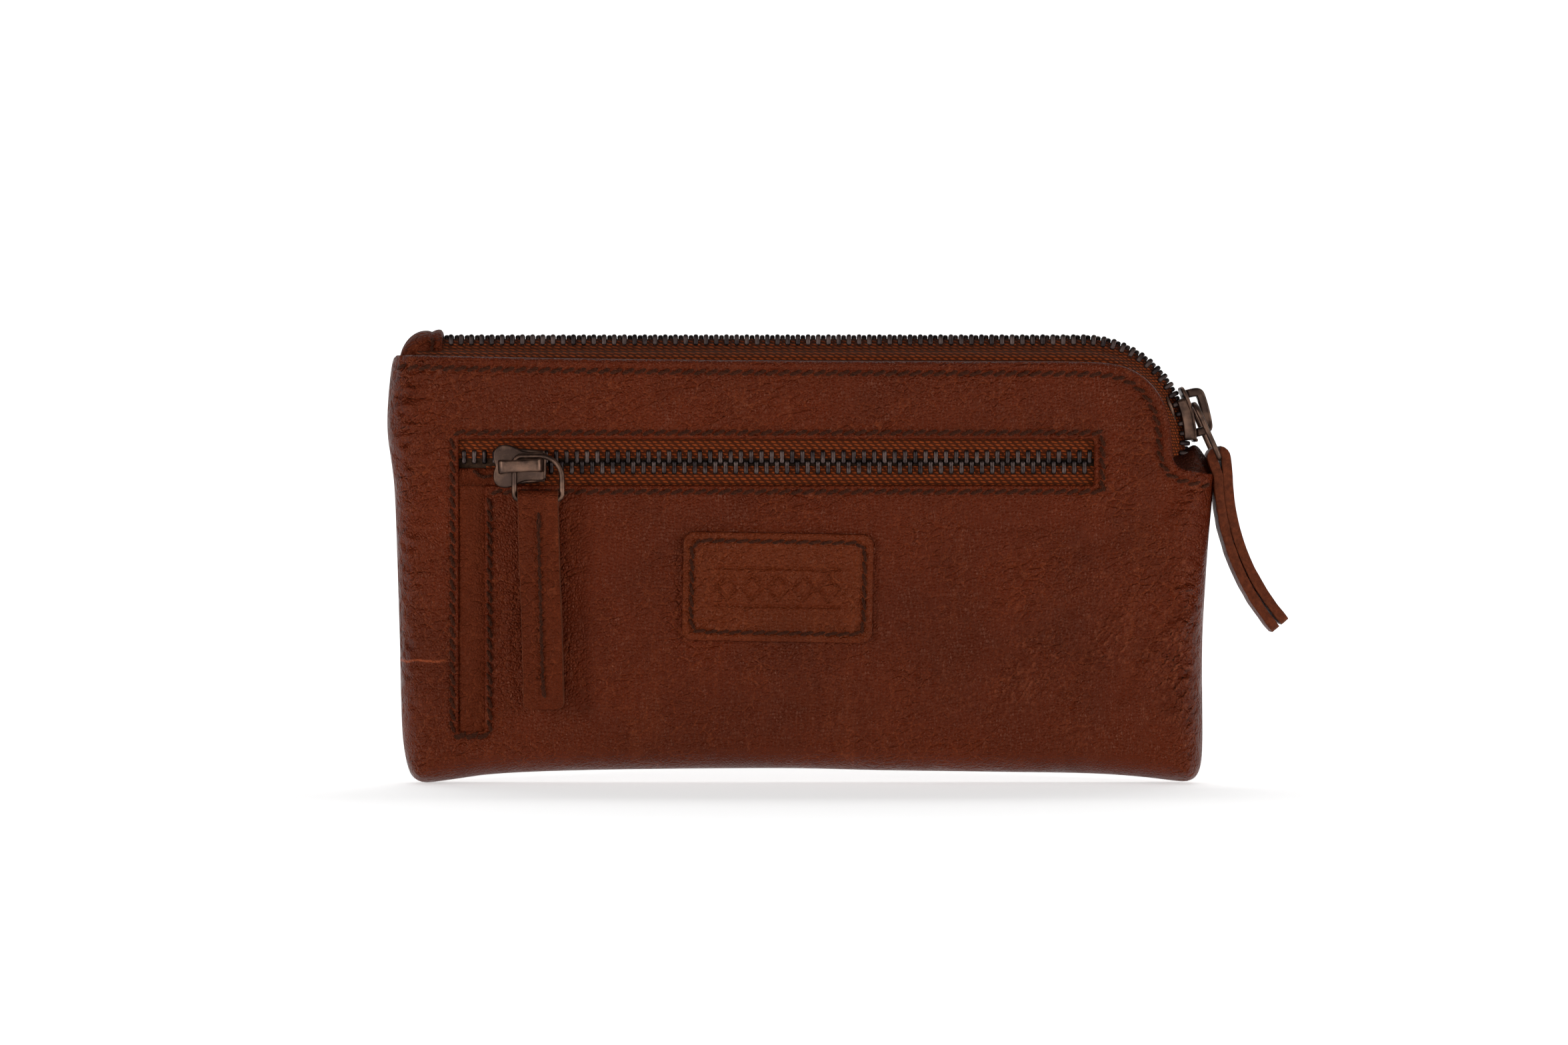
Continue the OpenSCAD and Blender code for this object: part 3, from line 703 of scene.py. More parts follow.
def tooth(thick):
    """A zip tooth: clamp at y = -2.75, head past the middle; x is the chain's thickness and z its run."""
    rings = [(-2.95, 1.2, 0.6), (-2.88, 1.7, 0.95), (-2.68, 2.1, 1.08), (-2.3, 2.2, 1.16), (-1.6, 2.2, 1.16),
             (-1.2, 2.1, 1.1), (-0.85, 1.9, 1.02), (-0.45, 2.0, 1.16), (-0.1, 2.05, 1.2), (0.2, 1.8, 1.05),
             (0.36, 1.4, 0.8), (0.42, 0.9, 0.4)]
    points = []
    for y, full, z in rings:
        x = full * thick / CHAIN_T
        s = round_section(x, z, min(x, z) * 0.38, 2)
        points.append(np.stack([s[:, 0], np.full(len(s), y), s[:, 1]], 1))
    return np.concatenate(points), tube_faces(len(rings), len(points[0]))


MAIN_TOOTH, POCKET_TOOTH = tooth(2.9), tooth(CHAIN_T)
TAB_RUN = 6.6  # how far the left end tab covers the chain


def main_teeth(node, side, shift, material):
    """One row of teeth along the top and round the corner, starting clear of the left end tab."""
    u = np.arange(TOP_RUN % PITCH + shift * PITCH, CHAIN_END - 0.6, PITCH)
    u = u[u > TAB_RUN]
    out, forward, centre = chain_frame(u)
    across = np.broadcast_to([0, -side, 0.0], out.shape)
    places = np.stack([out, across, forward, centre + out * (CHAIN_MID - 0.4)], -1)
    Shape().copies(*MAIN_TOOTH, places).build(node + "_metal", "pouch", "zip_metal", [material], (node,))


def pocket_teeth(node, up, x0, shift, material):
    """One row of the pocket's teeth, from the right to x0; up is 1 for the upper row, -1 for the lower."""
    x = np.arange(WINDOW[1] - 1 - shift * PITCH, x0, -PITCH)
    one = np.ones(len(x))[:, None]
    places = np.stack([one * [0, 1.0, 0], one * [0, 0, -up], one * [1.0, 0, 0],
                       np.stack([x, 0 * x + POCKET_Y, 0 * x + POCKET_Z], 1)], -1)
    Shape().copies(*POCKET_TOOTH, places).build(node + "_metal", "pouch", "zip_metal", [material], (node,))


def pocket_tape(node, up, x0, material):
    """The upper or lower tape, from x0 to the pocket's right end."""
    reach = abs(box(node)[1 if up > 0 else 0][2] - POCKET_Z)
    front = POCKET_Y - 0.28
    section = [(0.95, -front), (ROW_W, -front), (5.0, -front), (reach, -front)]

    def place(u, a, b):
        return np.stack([u, -b, POCKET_Z + up * a], -1)

    part = tape_shape(place, section, x0, WINDOW[1] + 2.4)
    Shape().add(*part).build(node + "_cloth", "pouch", "zip_tape", [material], (node,))


# ---------------------------------------------------------------- sliders, crowns and rings
def slider_outline(length, width):
    """A slider's plate from above: two round lobes on the left, waisted shoulders and a broad flat nose."""
    half = [(0.055, 0.0), (0.01, 0.22), (0.0, 0.5), (0.03, 0.8), (0.12, 0.97), (0.24, 1.0), (0.36, 0.95),
            (0.47, 0.8), (0.58, 0.69), (0.72, 0.66), (0.86, 0.68), (0.95, 0.66), (0.99, 0.52), (1.0, 0.25),
            (1.0, 0.0)]
    top = [((x - 0.5) * length, z * width / 2) for x, z in half]
    low = [(x, -z) for x, z in top[1:-1]]
    return rounded((low + top[::-1]), 3, True)


def slider_body(length, width, y0, gap, wall=1.1):
    """Both plates, the side walls and the nose's rib of a slider, lying flat with its outer face at y0."""
    parts = []
    outline = slider_outline(length, width)
    parts.append(plate(outline, y0, y0 + 0.95, 0.42, 4))
    parts.append(plate(slider_outline(length, width * 0.87), y0 + gap, y0 + gap + 0.9, 0.35, 3))
    for side in (-1, 1):
        path = [(x, y0 + 0.5 + wall / 2, side * z)
                for x, z in ((-0.3 * length, width * 0.4), (0, width * 0.35), (0.46 * length, width * 0.3))]
        parts.append(sweep(resample(path, 0.8), round_section(wall, 1.2, 0.35), (0, 0, 1)))
    ridge = [(length * 0.47, y0, z) for z in np.linspace(-0.31, 0.31, 9) * width]
    parts.append(sweep(ridge, round_section(0.7, 0.5, 0.22), (0, 1, 0)))
    return parts


def crown_bar(length, width, foot, top, thickness=1.2):
    """The crown that holds the ring: an arch along x, rising to y = top, with its feet at y = foot."""
    h = length / 2 - 0.75
    mid = top + thickness / 2
    path = rounded([(-h, foot), (-h, mid + 1.4), (-h + 0.35, mid + 0.25), (-h + 1.6, mid), (0, mid - 0.12),
                    (h - 1.6, mid), (h - 0.35, mid + 0.25), (h, mid + 1.4), (h, foot)], 3)
    path = np.stack([path[:, 0], path[:, 1], 0 * path[:, 0]], 1)
    swell = 1 + 0.16 * np.abs(path[:, 0] / h) ** 4
    section = round_section(thickness, width, 0.48, 4)[None] * np.stack([1 + 0 * swell, swell], 1)[:, None]
    return sweep(path, section, (0, 0, 1))


def ring_path(w, h, radii):
    """A ring's centre line in XZ, z from 0 to -h: radii upper right, upper left, lower left, lower right."""
    a, b, c, d = radii
    corners = [(w / 2 - a, -a, a, 0), (b - w / 2, -b, b, 90), (c - w / 2, c - h, c, 180),
               (w / 2 - d, d - h, d, 270)]
    flat = np.concatenate([arc(x, z, r, s, s + 90, 7) for x, z, r, s in corners])
    flat = resample(flat, 0.7, True)
    return np.stack([flat[:, 0], 0 * flat[:, 0], flat[:, 1]], 1)


def moved(part, matrix):
    """A part carried by a 3 x 4 placement matrix."""
    points, faces = part
    matrix = np.asarray(matrix, float)
    return points @ matrix[:, :3].T + matrix[:, 3], faces


def bent(part):
    """Carries a flat part (x along the chain, y outwards from the chain's face, z across) onto the corner."""
    points, faces = part
    a = SLIDER_AT - points[:, 0] / CHAIN_MID
    r = CHAIN_TOP - AXIS[1] - points[:, 1]
    return np.stack([AXIS[0] + r * np.cos(a), points[:, 2], AXIS[1] + r * np.sin(a)], 1), faces


def metal_piece(name, body, node, parts, materials):
    """One metal piece of several parts, in place of a CAD node."""
    shape = Shape()
    for part in parts:
        shape.add(*part)
    shape.build(name, body, "zip_metal", materials, (node,))


SLIDER_DROP = 1.0  # the pocket's slider hangs a little below its CAD node


def pocket_slider(materials):
    """The pocket's slider, its crown and its ring, each on its own CAD node."""
    low, high = box("pocket_slider_body")
    length, _, width = high - low
    place = [[1, 0, 0, (low[0] + high[0]) / 2], [0, 1, 0, 0], [0, 0, 1, (low[2] + high[2]) / 2 - SLIDER_DROP]]
    parts = [moved(part, place) for part in slider_body(length, width, low[1], 4.45)]
    metal_piece("pocket_slider_plates", "pocket_slider", "pocket_slider_body", parts, materials)

    low, high = box("pocket_slider_crown")
    length, _, width = high - low
    a = math.radians(3)
    turn = [[math.cos(a), 0, -math.sin(a), (low[0] + high[0]) / 2], [0, 1, 0, 0],
            [math.sin(a), 0, math.cos(a), (low[2] + high[2]) / 2 - SLIDER_DROP]]
    bar = moved(crown_bar(length, width, high[1] + 0.25, low[1]), turn)
    metal_piece("pocket_slider_arch", "pocket_slider", "pocket_slider_crown", [bar], materials)

    low, high = box("pocket_ring")
    wire, drop = (high[1] - low[1]) / 2, 1.3
    path = ring_path(high[0] - low[0] - 2 * wire, high[2] - low[2] - 2 * wire - drop, (5.2, 1.8, 1.3, 1.3))
    place = [[1, 0, 0, (low[0] + high[0]) / 2], [0, 1, 0, (low[1] + high[1]) / 2],
             [0, 0, 1, high[2] - wire - drop]]
    ring = moved(tube(path, wire, 12, True), place)
    metal_piece("pocket_ring_wire", "pocket_ring", "pocket_ring", [ring], materials)


def main_slider(materials):
    """The main slider bent round the corner, its crown, and its ring between its two hinges."""
    low, high = box("main_slider_body")
    parts = [bent(part) for part in slider_body(13.0, high[1] - low[1], -1.5, 4.5, 2.6)]
    metal_piece("main_slider_plates", "main_slider", "main_slider_body", parts, materials)

    c, s = math.cos(SLIDER_AT), math.sin(SLIDER_AT)
    r = CHAIN_TOP - AXIS[1]
    place = [[s, -c, 0, AXIS[0] + r * c], [0, 0, 1, 0], [-c, -s, 0, AXIS[1] + r * s]]
    bar = moved(crown_bar(11.3, 3.0, -1.2, -5.65, 2.1), place)
    metal_piece("main_slider_arch", "main_slider", "main_slider_crown", [bar], materials)

    reach = MAIN_BAR - MAIN_PIVOT
    h = float(np.linalg.norm(reach))
    down = reach / h
    low, high = box("main_ring")
    wire = 0.65
    path = ring_path(high[1] - low[1] - 2 * wire, h, (3.0, 3.0, 1.3, 1.3))
    place = [[0, down[1], -down[0], MAIN_PIVOT[0]], [1, 0, 0, 0], [0, -down[0], -down[1], MAIN_PIVOT[1]]]
    ring = moved(tube(path, wire, 12, True), place)
    metal_piece("main_ring_wire", "main_ring", "main_ring", [ring], materials)


# ---------------------------------------------------------------- leather pulls
def leather_strip(path, widths, thickness, up):
    """A strip's points, and its (faces, finish) groups: finish 1 is the raw leather of its cut edges."""
    k = len(round_section(2, 1, 0.3, 3))
    sections = np.array([round_section(w, t, min(0.32, w * 0.3), 3)
                         for w, t in zip(widths, np.broadcast_to(thickness, len(widths)))])
    points, faces = sweep(path, sections, up)
    quads, cap_a, cap_b = faces
    column = np.arange(len(quads)) % k
    middle = sections[len(sections) // 2]
    off_centre = np.abs((middle + np.roll(middle, -1, 0))[:, 0] / 2)
    raw = off_centre[column] > np.abs(middle[:, 0]).max() - 0.16
    return points, [(quads[~raw], 0), (quads[raw], 1), (cap_a, 1), (cap_b, 1)]


def end_widths(run, width, r):
    """A strip's width along its run, with round corners of radius r at both ends."""
    d = np.clip(np.minimum(run, run[-1] - run) + 0.05, 0, r)
    return width - 2 * (r - np.sqrt(np.clip(r * r - (r - d) ** 2, 0, None)))


def pull(name, body, strip, materials):
    """Makes a folded pull of a strip's points and groups."""
    points, groups = strip
    shape = Shape()
    shape.points, shape.groups = [points], [group for group in groups if len(group[0])]
    shape.build(name, body, "leather_edge", materials, (body,))


def wavy(run, width, seed):
    """A hand-cut strip's widths along its run."""
    return end_widths(run, width, 1.6) * (1 + 0.012 * value_noise(run, run * 0, 3.5, seed))


def pocket_pull(materials, thread):
    """The pocket's pull, folded round the ring's lower bar, leaning a little, with three rows of stitches."""
    low, high = box("pocket_pull")
    x, width = (low[0] + high[0]) / 2, high[0] - low[0]
    bar_z, bar_y = joint_at("pocket_pull_hinge")[1], sum(box("pocket_ring"))[1] / 2
    t, lean = 1.32, 0.028
    front, behind = low[1] + t / 2, high[1] - t / 2
    turn = np.radians(np.arange(200, -21, -12))
    loop = [(bar_y + 1.58 * math.cos(a), bar_z + 1.58 * math.sin(a)) for a in turn]
    flat = [(front, low[2]), (front + 0.05, 30), (front - 0.1, 48), (front, 62), (front + 0.02, 66.6)]
    flat += loop + [(behind, 66.6), (behind + 0.02, 60), (behind, 40), (behind, low[2] + 0.3)]
    line = resample(rounded(flat, 2), 0.6)
    y, z = line.T
    tilt = (bar_z - np.minimum(z, bar_z)) * lean
    sway = 0.22 * np.sin((z - 20) / 9.0) * np.clip((66 - z) / 20, 0, 1)
    path = np.stack([x + tilt + sway * 0.5, y + 0.10 * value_noise(z, z * 0, 6, 5), z], 1)
    strip = leather_strip(path, wavy(lengths(path), width, 9), t, (0, 1, 0.001))
    pull("pocket_pull_leather", "pocket_pull", strip, materials)
    rows = Shape()
    for a, b, shift in ((66.4, 62.8, 0.25), (64.6, 21.8, 0), (25.2, 21.6, 0.25)):
        line = [(x + (bar_z - a) * lean + shift, a), (x + (bar_z - b) * lean + shift, b)]
        rows.copies(*STRAND, stitch_places(line, lambda p, q: front - t / 2 - 0.02 + 0 * p, -1, slant=7))
    rows.build("pull_stitches", "pocket_pull", "thread", [thread], ("pull_stitching",))


def main_pull(materials):
    """The main pull, folded round the ring's bar and hanging in one bend."""
    low, high = box("main_pull")
    width = high[1] - low[1]
    tip, start = np.array([117.6, 38.8]), MAIN_BAR + [1.0, -1]
    s = np.linspace(0, 1, 40)[:, None]
    centre = (1 - s) ** 2 * start + 2 * s * (1 - s) * np.array([102.9, 56]) + s * s * tip
    run = unit(np.gradient(centre, axis=0))
    side = np.stack([-run[:, 1], run[:, 0]], 1)
    t = 2.35
    half = 1.14 + 0.34 * s ** 1.5
    right, left = centre + side * half, centre - side * half * 0.98
    facing = math.degrees(math.atan2(*(right[3] - centre[3])[::-1]))
    r = 1.75
    a = np.radians(np.arange(facing, facing + 181, 12))
    loop = MAIN_BAR + r * np.stack([np.cos(a), np.sin(a)], 1)
    flat = np.concatenate([right[::-1][:-3], loop, left[3:]])
    line = resample(rounded(flat, 2), 0.6)
    path = np.stack([line[:, 0], 0 * line[:, 0], line[:, 1]], 1)
    run = lengths(path)
    thick = t * (1 + 0.06 * value_noise(run, run * 0, 2.2, 8))
    pull("main_pull_leather", "main_pull", strip_xz(path, wavy(run, width, 19), thick), materials)


def strip_xz(path, widths, thick):
    """A strip whose path lies in the XZ plane and whose width runs along Y."""
    flipped = path[:, [1, 2, 0]]
    points, parts = leather_strip(flipped, widths, thick, (0, 1e-3, 1.0))
    return points[:, [2, 0, 1]], parts


# ---------------------------------------------------------------- label patch, welt and end tabs
PATCH_FACE = box("label_patch")[0][1]
PATCH_W, PATCH_H, PATCH_T = 46.4, 26.6, 1.2


def patch_xz(u, v):
    """The patch's own plane, turned 1 degree and carried to its place."""
    a = math.radians(-1)
    return np.stack([PATCH_MIDDLE[0] + u * math.cos(a) - v * math.sin(a),
                     PATCH_MIDDLE[1] + u * math.sin(a) + v * math.cos(a)], -1)


def emboss(u, v):
    """A plain pressed ornament: a row of lozenge outlines between two thin rules."""
    du = np.abs((u / 6.2 + 0.5) % 1 - 0.5) * 6.2
    reach = np.clip((15.5 - np.abs(u)) / 0.3, 0, 1)
    lozenge = np.abs(du / 2.6 + np.abs(v) / 2.9 - 1) * 1.9
    rule = np.abs(np.abs(v) - 4.6) - 0.2
    press = np.maximum(np.clip((0.6 - lozenge) / 0.35, 0, 1), np.clip((0.3 - rule) / 0.35, 0, 1))
    return 0.42 * press * reach


def label_patch(materials, thread):
    """The label patch, pressed in along its stitches, and the loop of stitches round it."""
    outline = resample(round_section(PATCH_W, PATCH_H, 2.7, 8), 0.5, True)

    def surface(u, v):
        edge = distance(u, v, outline)
        y = PATCH_FACE + round_over(edge, 0.5, 0.45)
        y = y + groove(edge, 2.2, 0.4, 0.16) + emboss(u, v) + 0.06 * value_noise(u, v, 7, 60)
        y = y - groove(edge, 1.1, 0.6, 0.12)
        return y + 0.025 * value_noise(u, v, 1.6, 61)

    rings = (0.12, 0.3, 0.55, 0.9, 1.3)
    shape = slab(outline, [], surface, PATCH_T + 0.1, step=0.28, rings=rings, bulge=0.12)
    points = np.concatenate(shape.points)
    flat = patch_xz(points[:, 0], points[:, 2])
    shape.points = [np.stack([flat[:, 0], points[:, 1], flat[:, 1]], 1)]
    shape.build("label_patch_leather", "pouch", "leather_patch", materials, ("label_patch",))
    rows = Shape()
    loop = resample(round_section(PATCH_W - 4.4, PATCH_H - 4.4, 1.6, 6), 0.5, True)
    loop = patch_xz(*np.concatenate([loop, loop[:1]])[::-1].T)
    rows.copies(*STRAND, stitch_places(loop, lambda x, z: PATCH_FACE + 0.1 + 0 * x, -1, slant=14))
    rows.build("patch_stitches", "pouch", "thread", [thread], ("patch_stitching",))


def closed_strip(front, rear):
    """A front and a rear grid of points joined into one closed skin."""
    both = np.concatenate([front, rear[:, ::-1]], 1)
    return both, tube_faces(*both.shape[:2])


def slot_welt(materials):
    """The folded strip that fills the slot, puffed between its fold and its stitching."""
    low, high = box("slot_welt")
    x = np.concatenate([np.linspace(low[0] - 0.9, low[0], 6), np.linspace(low[0] + 0.3, high[0] + 1.2, 14)])
    z = np.arange(low[2] - 0.8, high[2] + 1.2, 0.6)
    gx, gz = np.meshgrid(x, z)
    share = np.clip((gx - low[0]) / (high[0] - low[0]), 0, 1)
    y = low[1] + 0.25 - 0.35 * np.sin(math.pi * share) ** 0.8 + 0.12 * value_noise(gx, gz, 5, 70)
    y += round_over(gx - low[0] + 0.9, 0.8, 0.8)
    y += 0.10 * value_noise(gx * 0, gz, 2.2, 71)
    front = np.stack([gx + 0.12 * value_noise(gx * 0, gz, 6, 72), y, gz], -1)
    rear = front.copy()
    rear[..., 1] = high[1] + 0.2
    strip = Shape().add(*closed_strip(front, rear))
    strip.build("slot_welt_leather", "pouch", "leather_edge", materials, ("slot_welt",))


def slot_fold(materials, thread):
    """The leather folded under at the slot's upper end, behind the slider, with its tacking stitches."""
    top = 77.3
    x, z = np.meshgrid(np.linspace(-84, -74.2, 30), np.linspace(70.5, top, 22))
    y = -8.15 + 0.5 * value_noise(x, z, 2.6, 120) + 0.25 * value_noise(x, z, 1.3, 121)
    y -= 0.5 * np.exp(-((x + 79 + 0.4 * (z - 76)) / 1.1) ** 2)
    y += round_over(top - z, 0.9, 0.9)
    front = np.stack([x, np.minimum(y, -7.45), z], -1)
    rear = front * [1, 0, 1] + [0, -7.3, 0]
    Shape().add(*closed_strip(front, rear)).build("slot_fold_leather", "pouch", "leather_edge", materials)
    rows = Shape()
    for p, q in (((-79.6, 76.7), (-77.4, 75.0)), ((-77.4, 75.0), (-75.2, 75.4))):
        rows.copies(*STRAND, stitch_places([p, q], lambda a, b: -8.5 + 0 * a, -1, 1.4))
    rows.build("slot_fold_stitches", "pouch", "thread", [thread])


def end_tab(materials, thread):
    """Folded leather over the chain's left end, rounded down to the side seam, and its short stitches."""
    high = box("zip_tab_left")[1]
    x0, x1, foot = -98.2, high[0], 100.8
    bend, shoulder = 6.4, 103.3  # the rounded left end: how long it is, and where it starts
    quarter = np.linspace(0, math.pi / 2, 16)
    x = np.concatenate([x0 + bend * (1 - np.cos(quarter)), np.arange(x0 + 6.9, x1 - 0.8, 0.5),
                        x1 - 0.8 * (1 - np.sin(np.linspace(0, math.pi / 2, 6)))])
    rise = np.sqrt(np.clip(1 - ((x0 + bend - x) / bend) ** 2, 0, 1))
    top = np.where(x < x0 + bend, shoulder + (high[2] - shoulder) * rise, high[2])
    t = np.linspace(-1, 1, 33)
    turn = t * math.pi / 2
    half = high[1] + 0.3
    across = half * np.sign(t) * np.abs(np.sin(turn))
    lift = np.cos(turn) ** 0.55
    rows = []
    for xx, zz in zip(x, top):
        bump = groove(xx, -88.6, 0.9, 0.3) - groove(xx, -90.3, 0.5, 0.3)
        end = 0.9 * (1 - math.sqrt(max(0, 1 - max(0, (xx - x1 + 0.8) / 0.8) ** 2)))
        h = max(zz - foot + bump - end, 0.5)
        w = (half + 0.5 * bump - 0.5 * end) * (0.75 + 0.25 * min(1, (xx - x0) / 5))
        xs = np.full(len(t), xx)
        wave = 0.12 * value_noise(xs, t * 9, 3.2, 80)
        rows.append(np.stack([xs, across / half * w * (1 + wave * 0.1), foot + h * lift + wave * 0.5], 1))
    outer = np.array(rows)
    inner = outer - 1.25 * np.stack([0 * t, np.sin(turn), np.cos(turn)], 1)
    inner[..., 2] = np.maximum(inner[..., 2], foot)
    both = np.concatenate([outer, inner[:, ::-1]], 1)
    tab = Shape().add(both, folded_faces(*both.shape[:2]))
    tab.build("zip_tab_left_leather", "pouch", "leather_edge", materials, ("zip_tab_left",))

    def side_y(z):
        return half * np.sqrt(np.clip(1 - ((z - foot) / (high[2] - foot)) ** 3.64, 0, 1)) + 0.05

    rows = Shape()
    for side in (-1, 1):
        line = [(-89.9, 103.0), (-89.9, 109.2)]
        rows.copies(*STRAND, stitch_places(line, lambda x, z: side * side_y(z), side, 2.1, 8))
    rows.build("zip_tab_left_stitches", "pouch", "thread", [thread])


def notch_gusset(materials):
    """The leather that closes the right end, under the lower end of the zip, coloured much darker than the
    face.
    """
    x = np.linspace(89.8, 101.0, 30)
    t = np.linspace(-1, 1, 29)
    gx, gt = np.meshgrid(x, t, indexing="ij")
    reach = np.abs(face_y(gx, 0 * gx + 73.0)) - LEATHER - 0.1
    reach = np.clip(reach, 0.4, None)
    z = 79.2 - 2.6 * np.abs(gt) ** 2 + 0.35 * value_noise(gx, gt * 6, 3, 90) - 0.3 * (gx - 96)
    z = z + 4.3 * np.exp(-((gx - 96.9) / 2.9) ** 2) * (1 - gt ** 2) ** 2
    top = np.stack([gx, gt * reach, z], -1)
    under = top - [0, 0, 1.2]
    both = np.concatenate([top, under[:, ::-1]], 1)
    gusset = Shape().add(both, folded_faces(*both.shape[:2]))
    gusset.build("zip_tab_right_leather", "pouch", "leather_edge", materials, ("zip_tab_right",))


# ---------------------------------------------------------------- linings and bags
def cloth_sheet(name, outline, y_at, flip, material, nodes):
    """A thin sheet of cloth over an outline, its y from y_at(x, z)."""
    shape = slab(outline, [], y_at, 0.3, back=flip, step=2.6, rings=(1.2, 2.6, 4.5), bulge=0.0)
    piece = shape.build(name, "pouch", "lining_cloth", [material, material], nodes)


LINING_TOP = 97.0


def linings(material):
    """Both linings, cut inside the panels' outline and below the zip."""
    edge = inset(OUTLINE if area(OUTLINE) > 0 else OUTLINE[::-1], 2.4)
    corner = LINING_TOP - np.clip(edge[:, 0] - 70, 0, 30) * 0.9
    edge[:, 1] = np.minimum(edge[:, 1], np.where(edge[:, 0] > 70, corner, LINING_TOP))
    edge = resample(edge, 1.4, True)

    def sheet_y(deep, seed):
        def y_at(x, z):
            share = np.clip(distance(x, z, SEAM, SEAM_R) - 0.3, 0, 1)
            full = np.sqrt(np.clip(1 - (1 - share) ** 2, 0, 1))
            sway = deep * (0.08 + 0.92 * full) + 0.22 * value_noise(x, z, 16, seed)
            return sway + 0.06 * value_noise(x, z, 5, seed + 1)
        return y_at

    cloth_sheet("front_lining_cloth", edge, sheet_y(-1.1, 101), False, material, ("front_lining",))
    cloth_sheet("back_lining_cloth", edge, sheet_y(6.3, 103), True, material, ("back_lining",))


def joined(lines):
    """The faces between each line of points and the next; a line is a row of vertex numbers."""
    return [np.stack([a[:-1], a[1:], b[1:], b[:-1]], 1) for a, b in lines]


def bag(name, low, high, material, nodes, bow, mouth="top"):
    """A flat bag of one folded piece of cloth, open at its mouth: the top or the left."""
    turn = mouth == "left"
    a0, a1, b0, b1 = (low[2], high[2], -high[0], -low[0]) if turn else (low[0], high[0], low[2], high[2])
    ga, gb = np.meshgrid(np.linspace(a0, a1, int((a1 - a0) / 2.6)), np.linspace(b0, b1, int((b1 - b0) / 2.6)))
    rows, cols = ga.shape
    mid, half = (low[1] + high[1]) / 2, (high[1] - low[1]) / 2

    def wall(side, thin):
        rim = np.minimum(np.minimum(ga - a0, a1 - ga), gb - b0)
        puff = np.sqrt(np.clip(1 - (1 - np.clip(rim / bow, 0, 1)) ** 2, 0, 1))
        y = mid + side * (half * (0.1 + 0.9 * puff) - thin) + 0.16 * value_noise(ga, gb, 12, 110) * puff
        a = np.clip(ga, a0 + thin, a1 - thin)
        b = np.maximum(gb, b0 + thin)
        return np.stack([-b if turn else a, y, a if turn else b], -1).reshape(-1, 3)

    n = rows * cols
    c = np.arange(cols)
    seam = np.concatenate([np.arange(rows - 1, -1, -1) * cols, c[1:], np.arange(1, rows) * cols + cols - 1])
    shape, faces = Shape(), grid_faces(rows, cols)
    lip = (rows - 1) * cols + c
    groups = [faces + k * n for k in range(4)]
    groups += joined([(seam + k * n, seam + (k + 1) * n) for k in (0, 2)])
    groups += joined([(lip + k * n, lip + (k + 2) * n) for k in (0, 1)])
    shape.add(np.concatenate([wall(-1, 0), wall(1, 0), wall(-1, 0.12), wall(1, 0.12)]), groups)
    piece = shape.build(name, "pouch", "lining_cloth", [material], nodes)


